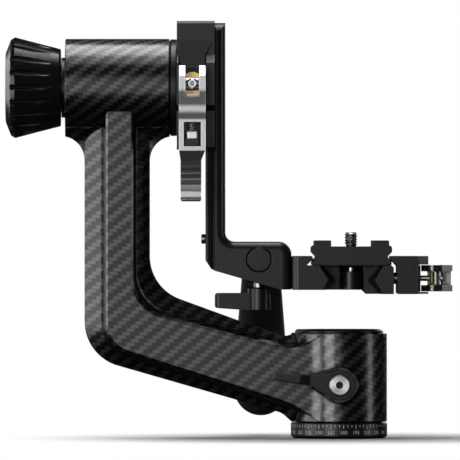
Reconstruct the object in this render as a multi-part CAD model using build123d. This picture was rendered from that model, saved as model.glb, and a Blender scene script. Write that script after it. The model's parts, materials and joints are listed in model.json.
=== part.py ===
"""Gimbal tripod head: a pan base, a bent carbon arm, a tilt barrel and an L bracket with two lever clamps.

Millimetres, +Z up. The origin is on the pan axis at the underside of the base. +X runs to the
camera platform, +Y away from the side that carries the levers. The tilt axis runs along X.
"""

from build123d import *
import math
import os

os.makedirs("parts", exist_ok=True)

# --- clearances --------------------------------------------------------------------------------
RUN = 0.04  # radial, a shaft turning in its bore
GAP = 0.4  # axial, between faces that turn past each other
SLIDE = 0.08  # dovetail flank to jaw lip

# --- pan base and housing ----------------------------------------------------------------------
BASE_OUT = 0.1  # the base ring outside the housing
BASE_H = 7.4
BASE_CHAMFER = 1.2
SOCKET_R = 4.0  # 3/8"-16 tapping bore
SOCKET_DEPTH = 12.0
SPINDLE_FOOT_R = 10.0
SPINDLE_RIM = 4.1  # width of the graduated ring outside the spindle's flange
SPINDLE_FLANGE_T = 2.8
SPINDLE_R = 11.0
HOUSING_R = 23.0
HOUSING_TOP = 50.4
HOUSING_WALL = 2.6
PAN_SLEEVE_WALL = 3.4
PAN_BEARING_T = 7.0
CAP_IN = 1.9  # the cap's edge inside the housing's
CAP_T = 1.7
CAP_SPIGOT_T = 2.2
PAN_NUT_R = 13.0
PAN_NUT_T = 3.5

# --- pan lock ----------------------------------------------------------------------------------
LOCK_Z = 25.6
BOSS_R = 8.4
BOSS_SPREAD = 1.0
BOSS_OUT = 2.2  # the boss's face in front of the housing
BOSS_ROOT = 8.0  # how deep the boss starts inside the housing
BOSS_RIM = 0.4  # the boss's neck outside the lever's arm
BOSS_RISE = 1.9
LOCK_HEAD_R = 7.0
LOCK_HEAD_T = 2.8
LOCK_CAP_R = 5.0
LOCK_CAP_T = 1.5
LOCK_SCREW_R = 2.5
LOCK_ARM_REACH = 32.2
LOCK_ARM_NECK = 13.2
LOCK_ARM_RISE = 4.8
LOCK_ARM_H = 4.4
LOCK_ARM_T = 4.0
LOCK_ARM_STEP = 2.2
LOCK_ARM_CRANK = 5.5  # length over which the lever's arm steps outwards
LOCK_ARM_THIN = 1.4
LOCK_HEX_R = 1.7
LOCK_HEX_DEPTH = 1.0
LOCK_CAP_EDGE = 0.5
SHOE_R = 3.2
SHOE_T = 3.0

# --- arm ---------------------------------------------------------------------------------------
ARM_LEFT = -122.0
ARM_RIGHT = -90.8
ARM_LOW_Z = 39.3  # where the arm's lower edge would meet its left edge
ARM_HIGH_Z = 71.8  # where the upper edge would meet the right edge
ARM_LOW_SLOPE = -0.288
ARM_HIGH_SLOPE = -0.365
ARM_HEEL_R = 22.0
ARM_ROOT_Z = 144.8
ARM_NECK_R = 11.7  # flare between the arm's sides and the barrel
ARM_WALL_R = 12.0  # hollow blend between the arm's side walls and the barrel
ARM_SIDE_Y = 9.0  # half depth of the arm's upright sides
ARM_SHOULDER_Y = 13.0
ARM_SHOULDER_IN = 8.0
ARM_FACE_IN = 2.7  # the spine's face behind the housing's front
ARM_BLEND_R = 20.0  # hollow blend between the spine's face and the housing
SPINE_LEFT_IN = 10.4
SPINE_RIGHT_IN = 7.9
SPINE_LOW_Z = 44.3
SPINE_HIGH_Z = 62.5
SPINE_LOW_SLOPE = -0.319
SPINE_HIGH_SLOPE = -0.261
SPINE_FOOT = 1.7  # how much wider the raised spine is at its foot
SPINE_EDGE = 0.9  # bevel round the spine's front face
HIDDEN = 0.3  # share of the housing radius to which the arm runs before it is cut off

# --- tilt barrel, shaft and knob -----------------------------------------------------------------
TILT_Z = 168.0
BARREL_R = 23.4
BARREL_LEFT = -131.3
BARREL_RIGHT = -81.3
BARREL_END_WALL = 3.0
BARREL_WALL = 3.0
TILT_SLEEVE_WALL = 4.4
TILT_BEARING_T = 7.0
SHAFT_R = 8.0
SHAFT_THREAD_R = 5.0
NECK_RING_R = 14.4
NECK_RING_T = 1.8
NECK_SPIGOT_IN = 2.4
COLLAR_IN = 0.2  # the collar's rim inside the barrel's
KNOB_R = 24.2
KNOB_NOSE_R = 16.6
KNOB_EDGE_R = 23.0
KNOB_END_R = 18.4
KNOB_LEN = 26.4
KNOB_NOSE_T = 2.5
KNOB_CROWN = 4.5
KNOB_FLUTES = 20
FLUTE_R = 1.35
FLUTE_DEPTH = 1.8
FLUTE_END = 4.6  # smooth band between the flutes and the knob's right end
KNOB_INSERT_R = 9.0
KNOB_INSERT_LEN = 18.0
KNOB_CAP_R = 10.0
KNOB_CAP_T = 1.2

# --- clamp module, in its own frame ----------------------------------------------------------------
# x opens outwards, y runs along the dovetail, z points at the plate; z = 0 is the dovetail's floor
CLAMP_LEN = 61.4
CLAMP_BACK = 28.5
CLAMP_FRONT = 20.1
JAW_GAP = 1.8
JAW_T = 9.8
CLAMP_FLOOR_Z = -11.6
CLAMP_FOOT_Z = -13.6
FOOT_FROM = 4.9
LIP_TOP = 4.5
LIP_EDGE = 3.0
LIP_HALF = 18.6
CHEEK_OUT = 5.2
CHEEK_FROM = -15.0
CHEEK_TO = 9.6
CHEEK_RAMP = 4.4
CHEEK_FALL = 2.5
JAW_CORNER = 1.2
PANEL_FROM = -21.3  # the raised panel between the jaw's end and its cheeks
PANEL_TO = -8.0
PANEL_OUT = 1.5
RELIEF_MID = 11.2  # half width of the end relief at its waist
RELIEF_EDGE = 15.4
RELIEF_IN = 3.2  # how much narrower the waist is deeper in
RELIEF_RAMP = 6.0
RELIEF_DEPTH = 18.0
POST_R = 5.5
POST_SCREW_R = 2.3  # screw that stands in a recess on the front post
POST_SCREW_T = 2.5
POST_RECESS = 3.0
POST_SHANK = 4.0
BACK_ROUND = 3.2  # rounding of the upright edges at the clamp's back
PIVOT_OUT = 9.0  # pivot axis outside the jaw's face
BOLT_Y = -0.6
BOLT_R = 1.35
BOLT_HEAD_R = 2.6
BOLT_HEAD_OUT = 3.9
BOLT_SEAT = 2.0  # the bolt head's seat outside the cross pin's axis
BOLT_HEAD_EDGE = 0.7
BOLT_PLAY = 0.3
BOLT_HEX_R = 1.1
GUIDE_PIN_R = 2.7
GUIDE_PIN_Y = 19.0
GUIDE_PIN_IN = 9.0  # length of a guide pin inside the clamp's body
BOLT_IN = 8.0  # how far the tie bolt reaches past the clamp's middle
CROSS_PIN_R = 3.1
WASHER_R = 5.7
WASHER_T = 1.5
LEVER_W = 12.6
LEVER_LOW = 1.6  # the lever's mid plane under the jaw's
EAR_GAP = 6.6
CAM_R = 5.6
CAM_OFFSET = 1.5
LEVER_OUT = 7.8
LEVER_EAR_END = 8.6
LEVER_TIP = 56.1
LEVER_EAR_RUN = 4.9
LEVER_WAIST = 12.5
LEVER_WAIST_IN = 2.0
LEVER_WAIST_R = 9.0
LEVER_FACE_FROM = 17.0
LEVER_FACE_TO = 32.0
LEVER_FACE_IN = 0.2
FORK_END = 5.0
FORK_STEP = 6.3
FORK_STEP_IN = 3.4  # how far the step behind the cross pin lies under the lever's face
TIP_IN_HIGH = 2.0
TIP_IN_LOW = 0.7
TIP_NECK_FROM = 31.6
TIP_NECK_TO = 36.4
WINDOW_W = 8.3
WINDOW_FROM = 18.3
WINDOW_TO = 29.9
LATCH_PLAY = 0.3
LATCH_BLOCK_L = 3.9
LATCH_BUTTON_L = 3.0
LATCH_T = 4.0
LATCH_BUTTON_IN = 0.6
RIB_COUNT = 6
RIB_PITCH = 2.9
RIB_FROM = 36.6
RIB_IN = 1.9  # the first rib under the lever's face
RIB_RISE = 1.6  # how far the ribs come out towards the tip
RIB_DEPTH = 0.7
EDGE = 0.4  # small chamfer on machined edges

# --- upper clamp and swing bracket -------------------------------------------------------------------
CLAMP_BACK_X = -77.7
UPPER_CLAMP_Z = 168.8
RAIL_HALF = 19.1
RAIL_TOP = 198.8
RAIL_FACE_X = -54.5
RAIL_CROWN_R = 6.5
FOOT_INNER_R = 4.6
FOOT_TOP = 94.1
FOOT_END_X = -22.9
FOOT_UNDER = 71.2
FOOT_UNDER_X = -28.4
FOOT_SLOPE_Z = 80.1
FOOT_CORNER_R = 6.0
FOOT_CHEEK_R = 4.2
BRACKET_HALF = 18.6
STOP_Z = 95.4
STOP_R = 2.3
STOP_OUT = 2.0
STOP_IN = 6.2  # length of the stop screw's shank

# --- handle and its lock ------------------------------------------------------------------------------
AXLE_X = -38.4
AXLE_Z = 85.6
AXLE_R = 5.9
HUB_R = 8.4
HUB_LEN = 12.0
GRIP_LEAN = 50.0
GRIP_TOP_R = 9.3
GRIP_END_R = 13.0
GRIP_LEN = 99.0
GRIP_FROM = 9.5
LOCK_HUB_R = 5.5
LOCK_HUB_LOW = 60.9
LOCK_HUB_TOP = 72.0
LOCK_WING_REACH = 21.2
LOCK_WING_LOW = 62.3
LOCK_WING_TOP = 69.5
LOCK_WING_T = 6.0
SET_SCREW_R = 2.5

# --- platform ---------------------------------------------------------------------------------------
PLATFORM_X = 5.8
CHANNEL_FLOOR_Z = 82.7
PLATE_LEN = 56.0
PLATE_HALF = 17.9
PLATE_TOP = 12.0  # above the dovetail's floor
PLATE_CHANNEL_FLOOR = 9.1
PLATE_CHANNEL_HALF = 9.8
PLATE_BEAD_OUT = 1.4
PLATE_BEAD_LOW = 5.1
PLATE_BEAD_TOP = 9.6
CAMERA_SCREW_R = 3.175
CAMERA_SCREW_OUT = 6.8
CAMERA_SCREW_NECK_R = 2.4
CAMERA_THREAD_UP = 0.5  # where the thread starts above the plate's channel
CAMERA_SCREW_TIP = 0.5
SCREW_HEAD_R = 5.0
SCREW_HEAD_T = 3.2
SCREW_HEAD_IN = 0.4  # the head's underside above the dovetail's floor

# --- derived places -------------------------------------------------------------------------------------
BASE_R = HOUSING_R + BASE_OUT
SPINDLE_FLANGE_R = BASE_R - SPINDLE_RIM
HOUSING_BOTTOM = BASE_H + GAP
BOSS_FACE_Y = -HOUSING_R - BOSS_OUT
ARM_FACE_Y = HOUSING_R - ARM_FACE_IN
CAP_R = HOUSING_R - CAP_IN
HOUSING_BORE_R = HOUSING_R - HOUSING_WALL
PAN_BEARING_R = HOUSING_BORE_R - PAN_SLEEVE_WALL
SLEEVE_TOP = HOUSING_TOP - CAP_SPIGOT_T
COLLAR_R = BARREL_R - COLLAR_IN
BARREL_BORE_R = BARREL_R - BARREL_WALL
TILT_BEARING_R = BARREL_BORE_R - TILT_SLEEVE_WALL
BORE_LEFT = BARREL_LEFT + BARREL_END_WALL
COLLAR_LEFT = BARREL_RIGHT + GAP
NECK_RING_LEFT = BARREL_LEFT - NECK_RING_T
KNOB_RIGHT = NECK_RING_LEFT - GAP
KNOB_LEFT = KNOB_RIGHT - KNOB_LEN
JAW_IN = CLAMP_FRONT + JAW_GAP
JAW_OUT = JAW_IN + JAW_T
PIVOT_X = JAW_OUT + PIVOT_OUT
LEVER_Z = (CLAMP_FOOT_Z + LIP_TOP) / 2 - LEVER_LOW
SEAT_X = CLAMP_BACK_X - CLAMP_FOOT_Z  # where the upper clamp's dovetail floor lies
RAIL_BODY_X = SEAT_X + LIP_TOP + 0.3


def save(name, shape):
    """Writes one sub-part as one STEP file."""
    solids = shape.solids()
    whole = solids[0] if len(solids) == 1 else Compound(children=list(solids))
    whole.label = name
    export_step(whole, f"parts/{name}.step")


def along_x(x, y=0.0, z=0.0):
    """Plane at a point whose normal is +X, with +Y as its own x."""
    return Plane(origin=(x, y, z), x_dir=(0, 1, 0), z_dir=(1, 0, 0))


def front(y):
    """Plane parallel to XZ at depth y, drawn in plain X and Z; its normal is -Y."""
    return Plane(origin=(0, y, 0), x_dir=(1, 0, 0), z_dir=(0, -1, 0))


def rod(plane, radius, length):
    """Cylinder that starts on a plane and runs along its normal."""
    return extrude(plane * Circle(radius), amount=length)


def tube(plane, outer, inner, length):
    """Ring section carried along a plane's normal."""
    return extrude(plane * (Circle(outer) - Circle(inner)), amount=length)


def turned(plane, profile):
    """Solid of revolution about a plane's normal; the profile is (radius, height) points."""
    section = Plane(origin=plane.origin, x_dir=plane.x_dir, z_dir=-plane.y_dir)
    face = section * make_face(Polyline(*profile, close=True))
    return revolve(face, axis=Axis(plane.origin, plane.z_dir))


def rounded(points, radii):
    """Closed outline of straight runs whose corners are arcs; a radius of 0 keeps the corner sharp."""
    face = make_face(Polyline(*points, close=True))
    for point, radius in zip(points, radii):
        if radius:
            corner = face.vertices().sort_by_distance((point[0], point[1], 0))[0]
            face = fillet(corner, radius)
    return face


def box_between(low, high):
    """Box from its lowest to its highest corner."""
    size = [b - a for a, b in zip(low, high)]
    middle = [(a + b) / 2 for a, b in zip(low, high)]
    return Pos(*middle) * Box(*size)


# --- pan base ----------------------------------------------------------------------------------------
def base_ring():
    flange_z = BASE_H - SPINDLE_FLANGE_T
    ring = turned(
        Plane.XY,
        [
            (SPINDLE_FOOT_R, 0),
            (BASE_R - BASE_CHAMFER, 0),
            (BASE_R, BASE_CHAMFER),
            (BASE_R, BASE_H - EDGE),
            (BASE_R - EDGE, BASE_H),
            (SPINDLE_FLANGE_R, BASE_H),
            (SPINDLE_FLANGE_R, flange_z),
            (SPINDLE_FOOT_R, flange_z),
        ],
    )
    return ring


def pan_spindle():
    flange_z = BASE_H - SPINDLE_FLANGE_T
    nut_seat = SLEEVE_TOP - GAP - PAN_NUT_T
    spindle = turned(
        Plane.XY,
        [
            (0, 0),
            (SPINDLE_FOOT_R, 0),
            (SPINDLE_FOOT_R, flange_z),
            (SPINDLE_FLANGE_R, flange_z),
            (SPINDLE_FLANGE_R, BASE_H),
            (SPINDLE_R, BASE_H),
            (SPINDLE_R, nut_seat),
            (SPINDLE_R * 0.7, nut_seat),
            (SPINDLE_R * 0.7, nut_seat + PAN_NUT_T),
            (0, nut_seat + PAN_NUT_T),
        ],
    )
    return spindle - rod(Plane.XY, SOCKET_R, SOCKET_DEPTH)


def pan_nut():
    nut_seat = SLEEVE_TOP - GAP - PAN_NUT_T
    return tube(Plane.XY.offset(nut_seat), PAN_NUT_R, SPINDLE_R * 0.7, PAN_NUT_T)


def bearing(plane, outer, inner, width):
    """Sealed ball bearing: races with a shield set back on both faces."""
    set_back = 0.8
    rim = (outer - inner) * 0.22
    return turned(
        plane,
        [
            (inner, 0),
            (inner + rim, 0),
            (inner + rim, set_back),
            (outer - rim, set_back),
            (outer - rim, 0),
            (outer, 0),
            (outer, width),
            (outer - rim, width),
            (outer - rim, width - set_back),
            (inner + rim, width - set_back),
            (inner + rim, width),
            (inner, width),
        ],
    )


def pan_bearing_places():
    """Bottom faces of the two pan bearings."""
    top = SLEEVE_TOP - GAP - PAN_NUT_T - GAP - PAN_BEARING_T
    return BASE_H + GAP + 1.0, top


def pan_sleeve():
    low, high = pan_bearing_places()
    step_r = (PAN_BEARING_R + SPINDLE_R) / 2
    body = turned(
        Plane.XY,
        [
            (PAN_BEARING_R, low),
            (HOUSING_BORE_R, low),
            (HOUSING_BORE_R, SLEEVE_TOP),
            (PAN_BEARING_R, SLEEVE_TOP),
            (PAN_BEARING_R, high),
            (step_r, high),
            (step_r, low + PAN_BEARING_T),
            (PAN_BEARING_R, low + PAN_BEARING_T),
        ],
    )
    return body - rod(lock_plane(0), SHOE_R + RUN, HOUSING_R)


def top_cap():
    return turned(
        Plane.XY,
        [
            (0, SLEEVE_TOP),
            (HOUSING_BORE_R, SLEEVE_TOP),
            (HOUSING_BORE_R, HOUSING_TOP),
            (CAP_R, HOUSING_TOP),
            (CAP_R, HOUSING_TOP + CAP_T * 0.5),
            (CAP_R - CAP_T * 0.5, HOUSING_TOP + CAP_T),
            (CAP_R - 2.4, HOUSING_TOP + CAP_T),
            (CAP_R - 2.8, HOUSING_TOP + CAP_T - EDGE),
            (0, HOUSING_TOP + CAP_T - EDGE),
        ],
    )


# --- pan lock ------------------------------------------------------------------------------------------
def lock_plane(y):
    """Plane across the pan lock's axis at depth y; its normal points out of the housing."""
    return Plane(origin=(0, y, LOCK_Z), x_dir=(1, 0, 0), z_dir=(0, -1, 0))


def teardrop(radius, neck_half, reach, rise):
    """Round head that runs out to a narrow neck on the left."""
    head = Circle(radius)
    angle = math.degrees(math.asin((radius - neck_half) / reach)) if reach > radius else 0
    lean = math.degrees(math.atan2(rise, reach))
    up = 90 + lean + (90 - angle) * 0.32
    down = -90 - lean - (90 - angle) * 0.32 + 2 * lean
    tail = Polyline(
        (radius * math.cos(math.radians(up)), radius * math.sin(math.radians(up))),
        (-reach, rise + neck_half),
        (-reach, rise - neck_half),
        (radius * math.cos(math.radians(down)), radius * math.sin(math.radians(down))),
        (0, 0),
        close=True,
    )
    return head + make_face(tail)


def boss():
    """Raised pad under the pan lock lever, flared where it leaves the housing."""
    foot_y = -HOUSING_R + BOSS_ROOT
    neck = LOCK_ARM_H / 2 + BOSS_RIM
    spread = 2 * BOSS_SPREAD
    outline = teardrop(BOSS_R, neck, LOCK_ARM_NECK, BOSS_RISE)
    wide = teardrop(BOSS_R + spread, neck + BOSS_SPREAD, LOCK_ARM_NECK + spread, BOSS_RISE)
    sections = [lock_plane(foot_y) * wide.faces()[0], lock_plane(BOSS_FACE_Y) * outline.faces()[0]]
    return loft(sections, ruled=True)


def pan_lock_lever():
    head_y = BOSS_FACE_Y - GAP
    plane = lock_plane(head_y)
    neck_rise = LOCK_ARM_RISE * LOCK_ARM_NECK / LOCK_ARM_REACH
    head = extrude(plane * teardrop(LOCK_HEAD_R, LOCK_ARM_H / 2, LOCK_ARM_NECK, neck_rise), amount=LOCK_HEAD_T)
    step_end = LOCK_ARM_NECK + LOCK_ARM_CRANK
    out = LOCK_HEAD_T + LOCK_ARM_STEP
    back = out - LOCK_ARM_T + LOCK_ARM_THIN
    side = [
        (-LOCK_ARM_NECK + 1.5, 0.2),
        (-LOCK_ARM_NECK - 1.2, 0.2),
        (-step_end, back),
        (-LOCK_ARM_REACH, back),
        (-LOCK_ARM_REACH, out),
        (-step_end, out),
        (-LOCK_ARM_NECK - 1.2, LOCK_HEAD_T),
        (-LOCK_ARM_NECK + 1.5, LOCK_HEAD_T),
    ]
    lean = math.degrees(math.atan2(LOCK_ARM_RISE, LOCK_ARM_REACH))
    sketch = rounded(side, [0, 2, 1.5, 0.8, 0.8, 2, 1.5, 0])
    flipped = Plane(origin=plane.origin, x_dir=(1, 0, 0), z_dir=(0, 0, -1))
    arm = extrude(flipped * sketch, amount=LOCK_ARM_H / 2, both=True)
    arm = chamfer(arm.edges().filter_by(Axis.X).group_by(Axis.Y)[0], EDGE)
    arm = arm.rotate(Axis((0, head_y, LOCK_Z), (0, 1, 0)), lean)
    lever = head + arm
    return lever - rod(plane, LOCK_SCREW_R, LOCK_HEAD_T)


def pan_lock_screw():
    head_y = BOSS_FACE_Y - GAP - LOCK_HEAD_T
    shank_end = -SPINDLE_R - GAP - SHOE_T
    shank = shank_end - head_y
    screw = turned(
        lock_plane(head_y),
        [
            (0, -shank),
            (LOCK_SCREW_R, -shank),
            (LOCK_SCREW_R, 0),
            (LOCK_CAP_R, 0),
            (LOCK_CAP_R, LOCK_CAP_T * 0.6),
            (LOCK_CAP_R - LOCK_CAP_EDGE, LOCK_CAP_T),
            (0, LOCK_CAP_T),
        ],
    )
    hexagon = lock_plane(head_y - LOCK_CAP_T + LOCK_HEX_DEPTH) * RegularPolygon(LOCK_HEX_R, 6)
    return screw - extrude(hexagon, amount=2 * LOCK_HEX_DEPTH)


def pan_brake_shoe():
    """Plug that the lock screw pushes against the spindle."""
    start = -SPINDLE_R - GAP
    plug = rod(lock_plane(start), SHOE_R, SHOE_T)
    return plug - rod(Plane.XY, SPINDLE_R + GAP, HOUSING_TOP)


# --- arm -------------------------------------------------------------------------------------------------
def arm_level(y, left, right, low, high, low_slope, high_slope, radii, toe, valley):
    """The arm's outline at one depth, from the barrel down to the pan housing, on a plane at y.

    toe and valley are the outline's corners under and over the housing: where the lower or upper
    edge turns towards the housing, and the point at which it meets the housing.
    """

    def low_at(x):
        return low + (x - left) * low_slope

    def high_at(x):
        return high + (x - right) * high_slope

    inside = -HOUSING_R * HIDDEN
    points = [
        (left, TILT_Z),
        (left, low_at(left)),
        (toe[0], low_at(toe[0])),
        toe[1],
        (inside, toe[1][1]),
        (inside, valley[1][1]),
        valley[1],
        (valley[0], high_at(valley[0])),
        (right, high_at(right)),
        (right, TILT_Z),
    ]
    heel_r, toe_r, valley_r, crook_r = radii
    return front(y) * rounded(points, [0, heel_r, toe_r, 0, 0, 0, 0, valley_r, crook_r, 0])


def arm_side(y):
    toe = (-HOUSING_R - 4.5, (-HOUSING_R + 0.3, HOUSING_BOTTOM))
    valley = (-HOUSING_R - 3.5, (-HOUSING_R + 2.5, HOUSING_TOP))
    return arm_level(
        y, ARM_LEFT, ARM_RIGHT, ARM_LOW_Z, ARM_HIGH_Z, ARM_LOW_SLOPE, ARM_HIGH_SLOPE,
        (ARM_HEEL_R, 8.0, 8.0, ARM_HEEL_R), toe, valley,
    )


def arm_shoulder(y):
    inset = ARM_SHOULDER_IN
    toe = (-HOUSING_R + 0.5, (-HOUSING_R + 6, HOUSING_BOTTOM + 6.7))
    valley = (-HOUSING_R - 1, (-HOUSING_R + 6, HOUSING_TOP - 7))
    return arm_level(
        y, ARM_LEFT + inset, ARM_RIGHT - inset * 0.75, ARM_LOW_Z + inset * 0.7, ARM_HIGH_Z - inset * 0.8,
        ARM_LOW_SLOPE, ARM_HIGH_SLOPE, (ARM_HEEL_R - inset, 8.0, 8.0, ARM_HEEL_R), toe, valley,
    )


def arm_spine(y, grow):
    """The raised flat along the middle of the arm; grow widens it towards its foot."""
    meet = -math.sqrt(HOUSING_R**2 - ARM_FACE_Y**2)
    toe = (-HOUSING_R + 0.8, (meet + 1.3, HOUSING_BOTTOM + 0.4))
    valley = (-HOUSING_R + 1.6, (meet + 3.6, HOUSING_TOP - 0.6))
    return arm_level(
        y, ARM_LEFT + SPINE_LEFT_IN - grow, ARM_RIGHT - SPINE_RIGHT_IN + grow, SPINE_LOW_Z - grow,
        SPINE_HIGH_Z + grow, SPINE_LOW_SLOPE, SPINE_HIGH_SLOPE, (14.0, 50.0, 13.0, 19.0), toe, valley,
    )


def saddle():
    """Where the arm meets the barrel: its edges flare out and its side walls thicken upwards."""
    low = ARM_ROOT_Z - ARM_NECK_R - 1
    spread = ARM_NECK_R + 0.3
    flare = rounded(
        [
            (ARM_LEFT - spread, TILT_Z),
            (ARM_LEFT - spread, ARM_ROOT_Z),
            (ARM_LEFT, ARM_ROOT_Z),
            (ARM_LEFT, low),
            (ARM_RIGHT, low),
            (ARM_RIGHT, ARM_ROOT_Z),
            (ARM_RIGHT + spread, ARM_ROOT_Z),
            (ARM_RIGHT + spread, TILT_Z),
        ],
        [0, 0, ARM_NECK_R, 0, 0, ARM_NECK_R, 0, 0],
    )
    reach = ARM_SIDE_Y + ARM_WALL_R
    drop = math.sqrt((BARREL_R + ARM_WALL_R) ** 2 - reach**2)
    share = BARREL_R / (BARREL_R + ARM_WALL_R)
    half_turn = math.asin(drop / (BARREL_R + ARM_WALL_R)) / 2
    start = (ARM_SIDE_Y, TILT_Z - drop)
    through = (reach - ARM_WALL_R * math.cos(half_turn), TILT_Z - drop + ARM_WALL_R * math.sin(half_turn))
    finish = (reach * share, TILT_Z - drop * share)
    walls = make_face(
        [
            Line((0, low), (ARM_SIDE_Y, low)),
            Line((ARM_SIDE_Y, low), start),
            ThreePointArc(start, through, finish),
            Line(finish, (finish[0], TILT_Z)),
            Line((finish[0], TILT_Z), (0, TILT_Z)),
            Line((0, TILT_Z), (0, low)),
        ]
    )
    block = extrude(front(HOUSING_R) * flare, amount=2 * HOUSING_R)
    half = block & extrude(along_x(ARM_LEFT - spread) * walls, amount=ARM_RIGHT - ARM_LEFT + 2 * spread)
    return half + mirror(half, about=Plane.XZ)


def housing_blend():
    """Hollow surface that leads the spine's face onto the housing."""
    across = math.sqrt((HOUSING_R + ARM_BLEND_R) ** 2 - (ARM_FACE_Y + ARM_BLEND_R) ** 2)
    share = HOUSING_R / (HOUSING_R + ARM_BLEND_R)
    middle_angle = math.asin(across / (HOUSING_R + ARM_BLEND_R)) / 2
    start = (-across, -ARM_FACE_Y)
    through = (
        -across + ARM_BLEND_R * math.sin(middle_angle),
        -ARM_FACE_Y - ARM_BLEND_R * (1 - math.cos(middle_angle)),
    )
    finish = (-across * share, -(ARM_FACE_Y + ARM_BLEND_R) * share)
    back = -ARM_SHOULDER_Y
    border = [
        ThreePointArc(start, through, finish),
        Line(finish, (finish[0], back)),
        Line((finish[0], back), (start[0], back)),
        Line((start[0], back), start),
    ]
    blend = extrude(make_face(border), amount=HOUSING_TOP)
    return blend & extrude(arm_spine(back, -SPINE_EDGE), amount=HOUSING_R - ARM_SHOULDER_Y)


def barrel_solid():
    """The barrel's outside, before it is bored."""
    barrel = rod(along_x(BARREL_LEFT, 0, TILT_Z), BARREL_R, BARREL_RIGHT - BARREL_LEFT)
    return chamfer(barrel.edges().filter_by(GeomType.CIRCLE), EDGE)


def housing_solid():
    """The pan housing's outside with its boss, before it is bored."""
    housing = rod(Plane.XY.offset(HOUSING_BOTTOM), HOUSING_R, HOUSING_TOP - HOUSING_BOTTOM)
    return chamfer(housing.edges().filter_by(GeomType.CIRCLE), EDGE) + boss()


def yoke_arm():
    """The bent arm between the barrel and the housing, a raised spine along both its faces."""
    core = extrude(arm_side(ARM_SIDE_Y), amount=2 * ARM_SIDE_Y)
    skin = loft([arm_side(-ARM_SIDE_Y), arm_shoulder(-ARM_SHOULDER_Y)], ruled=True)
    levels = [
        arm_spine(-ARM_SHOULDER_Y + 1, SPINE_FOOT),
        arm_spine(-ARM_FACE_Y + SPINE_EDGE, 0.1),
        arm_spine(-ARM_FACE_Y, -SPINE_EDGE),
    ]
    half = skin + loft(levels, ruled=True) + housing_blend()
    arm = core + half + mirror(half, about=Plane.XZ) + saddle()
    arm &= box_between((BARREL_LEFT, -HOUSING_R, 0), (BARREL_RIGHT, HOUSING_R, TILT_Z)) + box_between(
        (BARREL_LEFT, -HOUSING_R, 0), (0, HOUSING_R, ARM_ROOT_Z / 2)
    )
    arm -= rod(along_x(BARREL_LEFT - 1, 0, TILT_Z), BARREL_R, BARREL_RIGHT - BARREL_LEFT + 2)
    arm -= rod(Plane.XY, HOUSING_R, ARM_ROOT_Z / 2)
    return arm - boss()


def tilt_barrel():
    left = along_x(BARREL_LEFT, 0, TILT_Z)
    barrel = barrel_solid() - rod(along_x(BORE_LEFT, 0, TILT_Z), BARREL_BORE_R, BARREL_RIGHT - BORE_LEFT + 1)
    return barrel - rod(left, NECK_RING_R - NECK_SPIGOT_IN, BARREL_END_WALL)


def pan_housing():
    housing = housing_solid() - rod(Plane.XY, HOUSING_BORE_R, HOUSING_TOP + 1)
    return housing - rod(lock_plane(0), LOCK_SCREW_R + RUN, HOUSING_R * 2)


# --- tilt ---------------------------------------------------------------------------------------------------
def tilt_sleeve():
    left = BORE_LEFT
    right = BARREL_RIGHT
    mid_r = (TILT_BEARING_R + SHAFT_R) / 2
    end = right - left
    return turned(
        along_x(left, 0, TILT_Z),
        [
            (TILT_BEARING_R, 0),
            (BARREL_BORE_R, 0),
            (BARREL_BORE_R, end),
            (TILT_BEARING_R, end),
            (TILT_BEARING_R, end - TILT_BEARING_T),
            (mid_r, end - TILT_BEARING_T),
            (mid_r, TILT_BEARING_T),
            (TILT_BEARING_R, TILT_BEARING_T),
        ],
    )


def neck_ring():
    """Thrust ring between knob and barrel, with a spigot in the barrel's end wall."""
    return turned(
        along_x(NECK_RING_LEFT, 0, TILT_Z),
        [
            (SHAFT_R + RUN, 0),
            (NECK_RING_R, 0),
            (NECK_RING_R, NECK_RING_T),
            (NECK_RING_R - NECK_SPIGOT_IN, NECK_RING_T),
            (NECK_RING_R - NECK_SPIGOT_IN, NECK_RING_T + BARREL_END_WALL),
            (SHAFT_R + RUN, NECK_RING_T + BARREL_END_WALL),
        ],
    )


def tilt_shaft():
    thread_len = KNOB_INSERT_LEN
    return turned(
        along_x(KNOB_RIGHT - thread_len, 0, TILT_Z),
        [
            (0, 0),
            (SHAFT_THREAD_R, 0),
            (SHAFT_THREAD_R, thread_len),
            (SHAFT_R, thread_len),
            (SHAFT_R, CLAMP_BACK_X - KNOB_RIGHT + thread_len),
            (0, CLAMP_BACK_X - KNOB_RIGHT + thread_len),
        ],
    )


def tilt_collar():
    width = CLAMP_BACK_X - COLLAR_LEFT
    ring = tube(along_x(COLLAR_LEFT, 0, TILT_Z), COLLAR_R, SHAFT_R, width)
    rim = ring.edges().filter_by(GeomType.CIRCLE).group_by(SortBy.RADIUS)[-1]
    return chamfer(rim, EDGE)


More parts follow.
